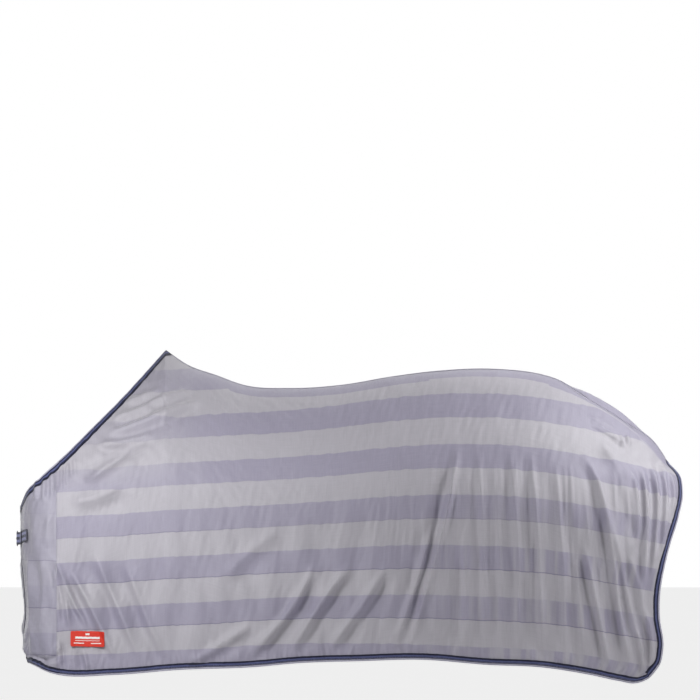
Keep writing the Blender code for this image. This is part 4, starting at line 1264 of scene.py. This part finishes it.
def tail_loop(side, label):
    """A webbing loop bowed away from the inside of the cloth beside the tail edge."""
    middle = middle_of("tail_loop_" + label)
    stations = np.linspace(END_S - 0.2, END_S, 80)
    x = between(PLAIN, stations, arc_at(stations, middle[2]))[:, 0]
    s = float(np.interp(middle[0], x, stations))
    half, bow, bow_half = 0.023, 0.0135, 0.0125  # of the webbing; depth and half length of its bow
    down = np.linspace(-half, half, 47)
    depth = bow * np.where(np.abs(down) < 0.012, np.sqrt(np.clip(1 - (down / bow_half) ** 2, 0, 1)), 0)
    depth = soften(depth, 3)
    column = np.full(len(down), s)
    r = arc_at(column, middle[2] - down)
    centres = on_cloth(side, column, r, -(0.0022 + depth))
    aside = unit(on_cloth(side, s + 0.004, r) - on_cloth(side, s - 0.004, r))
    up = unit(np.cross(np.gradient(centres, axis=0), aside))
    rings, shape = tape_ring(centres, aside, up, LOOP_WIDTH, STRAP)
    along = lengths(centres)
    from_end = np.minimum(along, along[-1] - along) + 0.004
    place = places(along[:, None], shape[None, :, 0] + LOOP_WIDTH / 2, from_end[:, None])
    obj = swept("tail_cord_loop_" + label, rings, place, LOOKS["loop"], "sheet")
    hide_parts("tail_loop_" + label)


# --------------------------------------------------------------------------------- the label

LABEL_HEIGHT = 0.0030  # how far folds lift the label off the plain surface
LABEL_TILT = -0.022
LABEL_LONG, LABEL_TALL = 0.099, 0.045
LABEL_HEM_U, LABEL_HEM_V = 0.035, 0.06  # a row of stitches ends this far in, and lies twice as far in
PATCH_THICK, BAR_THICK = 0.0009, 0.0004
PATCH_LIFT, BAR_LIFT, STITCH_LIFT = 0.0010, 0.0017, 0.0016


def label_at(u, v, lift):
    """A point on the label: u and v from 0 to 1 along and up it, curling up a little at one corner."""
    low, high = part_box("side_label")
    x = low[0] + (high[0] - low[0]) * u
    z = low[2] + (high[2] - low[2]) * v + LABEL_TILT * (x - (low[0] + high[0]) / 2)
    s = SEAM_S + x - SEAM_X
    r = arc_at(s, z)
    curl = 0.0035 * (1 - step(u, 0.0, 0.35)) * (1 - step(v, 0.2, 0.9)) + 0.0010 * (1 - step(v, 0.0, 0.3))
    return label_base(s, r) + outward_plain(s, r) * (lift + curl)[..., None]


def outward_plain(s, r):
    return between(PLAIN_NORMALS, s, r) * np.array([1, NEAR, 1])


def label_base(s, r):
    """The label is stiffer than the cloth, so that it lies over the cloth's folds."""
    plain = between(PLAIN, s, r) * np.array([1, NEAR, 1])
    heights = dots(on_cloth(NEAR, s, r) - plain, outward_plain(s, r))
    height = 0.35 * heights + 0.65 * LABEL_HEIGHT + 0.0010
    return plain + outward_plain(s, r) * np.maximum(height, heights + 0.0004)[..., None]


def label_normals(points):
    s = SEAM_S + points[..., 0] - SEAM_X
    return outward_plain(s, arc_at(s, points[..., 2]))


def patch(name, low, high, counts, lift, thick, look, corner=0.0):
    """A thin patch on the label between two corners, given in u and v."""
    us, vs = (np.linspace(low[k], high[k], counts[k]) for k in range(2))
    u, v = np.meshgrid(us, vs, indexing="ij")
    if corner:
        middle, half = (low[0] + high[0]) / 2, (high[0] - low[0]) / 2
        edge = np.clip((np.abs(v - 0.5) - (0.5 - corner * 2)) / (corner * 2), 0, 1)
        shorter = half - corner * (1 - np.sqrt(1 - edge**2))
        u = middle + (u - middle) / half * shorter
    points = label_at(u, v, np.full(u.shape, lift))
    place = places(u * LABEL_LONG, v * LABEL_TALL, np.zeros((1, 1)))
    piece = sheet_object(name, points, label_normals(points), thick, place, LOOKS[look], "sheet", NEAR)
    return piece


def label():
    """The label, with plain bars and a block for its lettering, sewn down along its four sides."""
    base = patch("side_label_patch", (0, 0), (1, 1), (40, 20), PATCH_LIFT, PATCH_THICK, "label", 0.035)
    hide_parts("side_label")
    bars = (
        ("wide", (0.14, 0.50), (0.86, 0.64)), ("thin", (0.14, 0.37), (0.86, 0.405)),
        ("left", (0.10, 0.19), (0.40, 0.25)), ("right", (0.60, 0.19), (0.90, 0.25)),
        ("crown", (0.44, 0.74), (0.56, 0.86)),
    )
    for name, low, high in bars:
        patch("label_bar_" + name, low, high, (24, 4), BAR_LIFT, BAR_THICK, "marks")
    t = np.linspace(0, 1, 40)
    sides = (
        (t, t * 0 + LABEL_HEM_V), (t * 0 + 1 - LABEL_HEM_U, t),
        (1 - t, t * 0 + 1 - LABEL_HEM_V), (t * 0 + LABEL_HEM_U, 1 - t),
    )
    for k, (u, v) in enumerate(sides):
        u, v = LABEL_HEM_U + (1 - 2 * LABEL_HEM_U) * u, LABEL_HEM_V + (1 - 2 * LABEL_HEM_V) * v
        points = label_at(u, v, np.full(len(u), STITCH_LIFT))
        name = "label_stitches_%d" % (k + 1)
        stitches(name, points, label_normals(points), LOOKS["label"], "sheet", **FINE_STITCH)


# ------------------------------------------------------------------------- stage and camera

FLOOR_LEVEL, FLOOR_RADIUS = -1.50, 60
CLIP_END = 300  # the floor reaches beyond the camera's usual limit
FLOOR_GLOW = 0.62  # only the camera sees this, so that the floor fades into the white backdrop
FILL = 0.25  # strength of the white surroundings as a light
LIGHTS = (  # name, place, target, size, power
    ("key", (-2.7, -1.8, 2.0), (-0.2, -0.2, -0.25), 0.7, 25),
    ("front", (-0.80, -1.35, -0.05), (-0.57, -0.25, -0.30), 0.35, 11.5),
    ("tail", (1.75, -0.95, -0.10), (1.02, -0.20, -0.50), 0.5, 4.8),
    ("rim", (2.0, -0.3, 1.3), (0.98, -0.05, -0.12), 0.8, 34),
    ("back", (0.6, 3.5, 3.0), (0.15, 0, -0.4), 2.5, 45),
)
SENSOR = 36  # mm
CAMERA_DISTANCE = 45.0
CAMERA_SPAN = 2.036  # width of the picture at the sheet
CAMERA_X, CAMERA_HEIGHT = 0.175, 0.112


def area_light(name, place, target, size, power):
    light = bpy.data.lights.new(name, "AREA")
    light.shape = "DISK"
    light.size = size
    light.energy = power
    obj = bpy.data.objects.new(name, light)
    obj.visible_camera = False
    obj.location = place
    obj.rotation_euler = (Vector(target) - Vector(place)).to_track_quat("-Z", "Y").to_euler()
    bpy.context.scene.collection.objects.link(obj)


def pale_floor():
    n = Nodes("pale_floor")
    where = n.node("TexCoord").outputs["Object"]
    tone = n.ramp(n.noise(where, 0.6, 3.0), 0.3, 0.7, 0.985, 1.0)
    seen = n.node("LightPath").outputs["Is Camera Ray"]
    n.put(n.times(seen, FLOOR_GLOW), n.shader.inputs["Emission Strength"])
    look = n.finish(n.shade(FLOOR_WHITE, tone), 0.9, Emission_Color=(1, 1, 1, 1))
    bpy.ops.mesh.primitive_circle_add(
        vertices=96, radius=FLOOR_RADIUS, fill_type="NGON", location=(0, 0, FLOOR_LEVEL)
    )
    floor = bpy.context.object
    floor.name = "studio_floor"
    floor.data.materials.append(look)


def white_surroundings():
    """White to the camera, and a soft fill light to everything else."""
    world = bpy.data.worlds.new("studio")
    world.use_nodes = True
    tree = world.node_tree
    seen = tree.nodes.new("ShaderNodeLightPath").outputs["Is Camera Ray"]
    strength = tree.nodes.new("ShaderNodeMapRange")
    strength.inputs["To Min"].default_value = FILL
    strength.inputs["To Max"].default_value = 1.0
    tree.links.new(seen, strength.inputs["Value"])
    tree.links.new(strength.outputs[0], tree.nodes["Background"].inputs["Strength"])
    tree.nodes["Background"].inputs["Color"].default_value = (1.0, 1.0, 1.0, 1)
    bpy.context.scene.world = world


def stage():
    pale_floor()
    white_surroundings()
    for light in LIGHTS:
        area_light(*light)
    bpy.context.scene.view_settings.view_transform = "Standard"


def camera():
    """The near side square on, from a long way off, with the sheet low in the picture."""
    data = bpy.data.cameras.new("camera")
    obj = bpy.data.objects.new("camera", data)
    data.sensor_width = SENSOR
    data.lens = SENSOR * CAMERA_DISTANCE / CAMERA_SPAN
    data.clip_end = CLIP_END
    obj.location = (CAMERA_X, -CAMERA_DISTANCE - HALF_WIDTH / 2, CAMERA_HEIGHT)
    obj.rotation_euler = (math.pi / 2, 0, 0)
    bpy.context.scene.collection.objects.link(obj)
    bpy.context.scene.camera = obj


# ---------------------------------------------------------------------------------- assembly

stage()
camera()
inner_tape()
cloth_halves()
welt()
bound_edges()
tape_stitches()
for strap in STRAPS:
    chest_strap(*strap)
for one_side, word in SIDES:
    tail_loop(one_side, word)
label()
for metal_node in ("snap_eye", "snap_hook", "snap_bolt", "snap_spring", "d_ring"):
    for material_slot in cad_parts[metal_node].material_slots:
        material_slot.material = LOOKS["metal"]
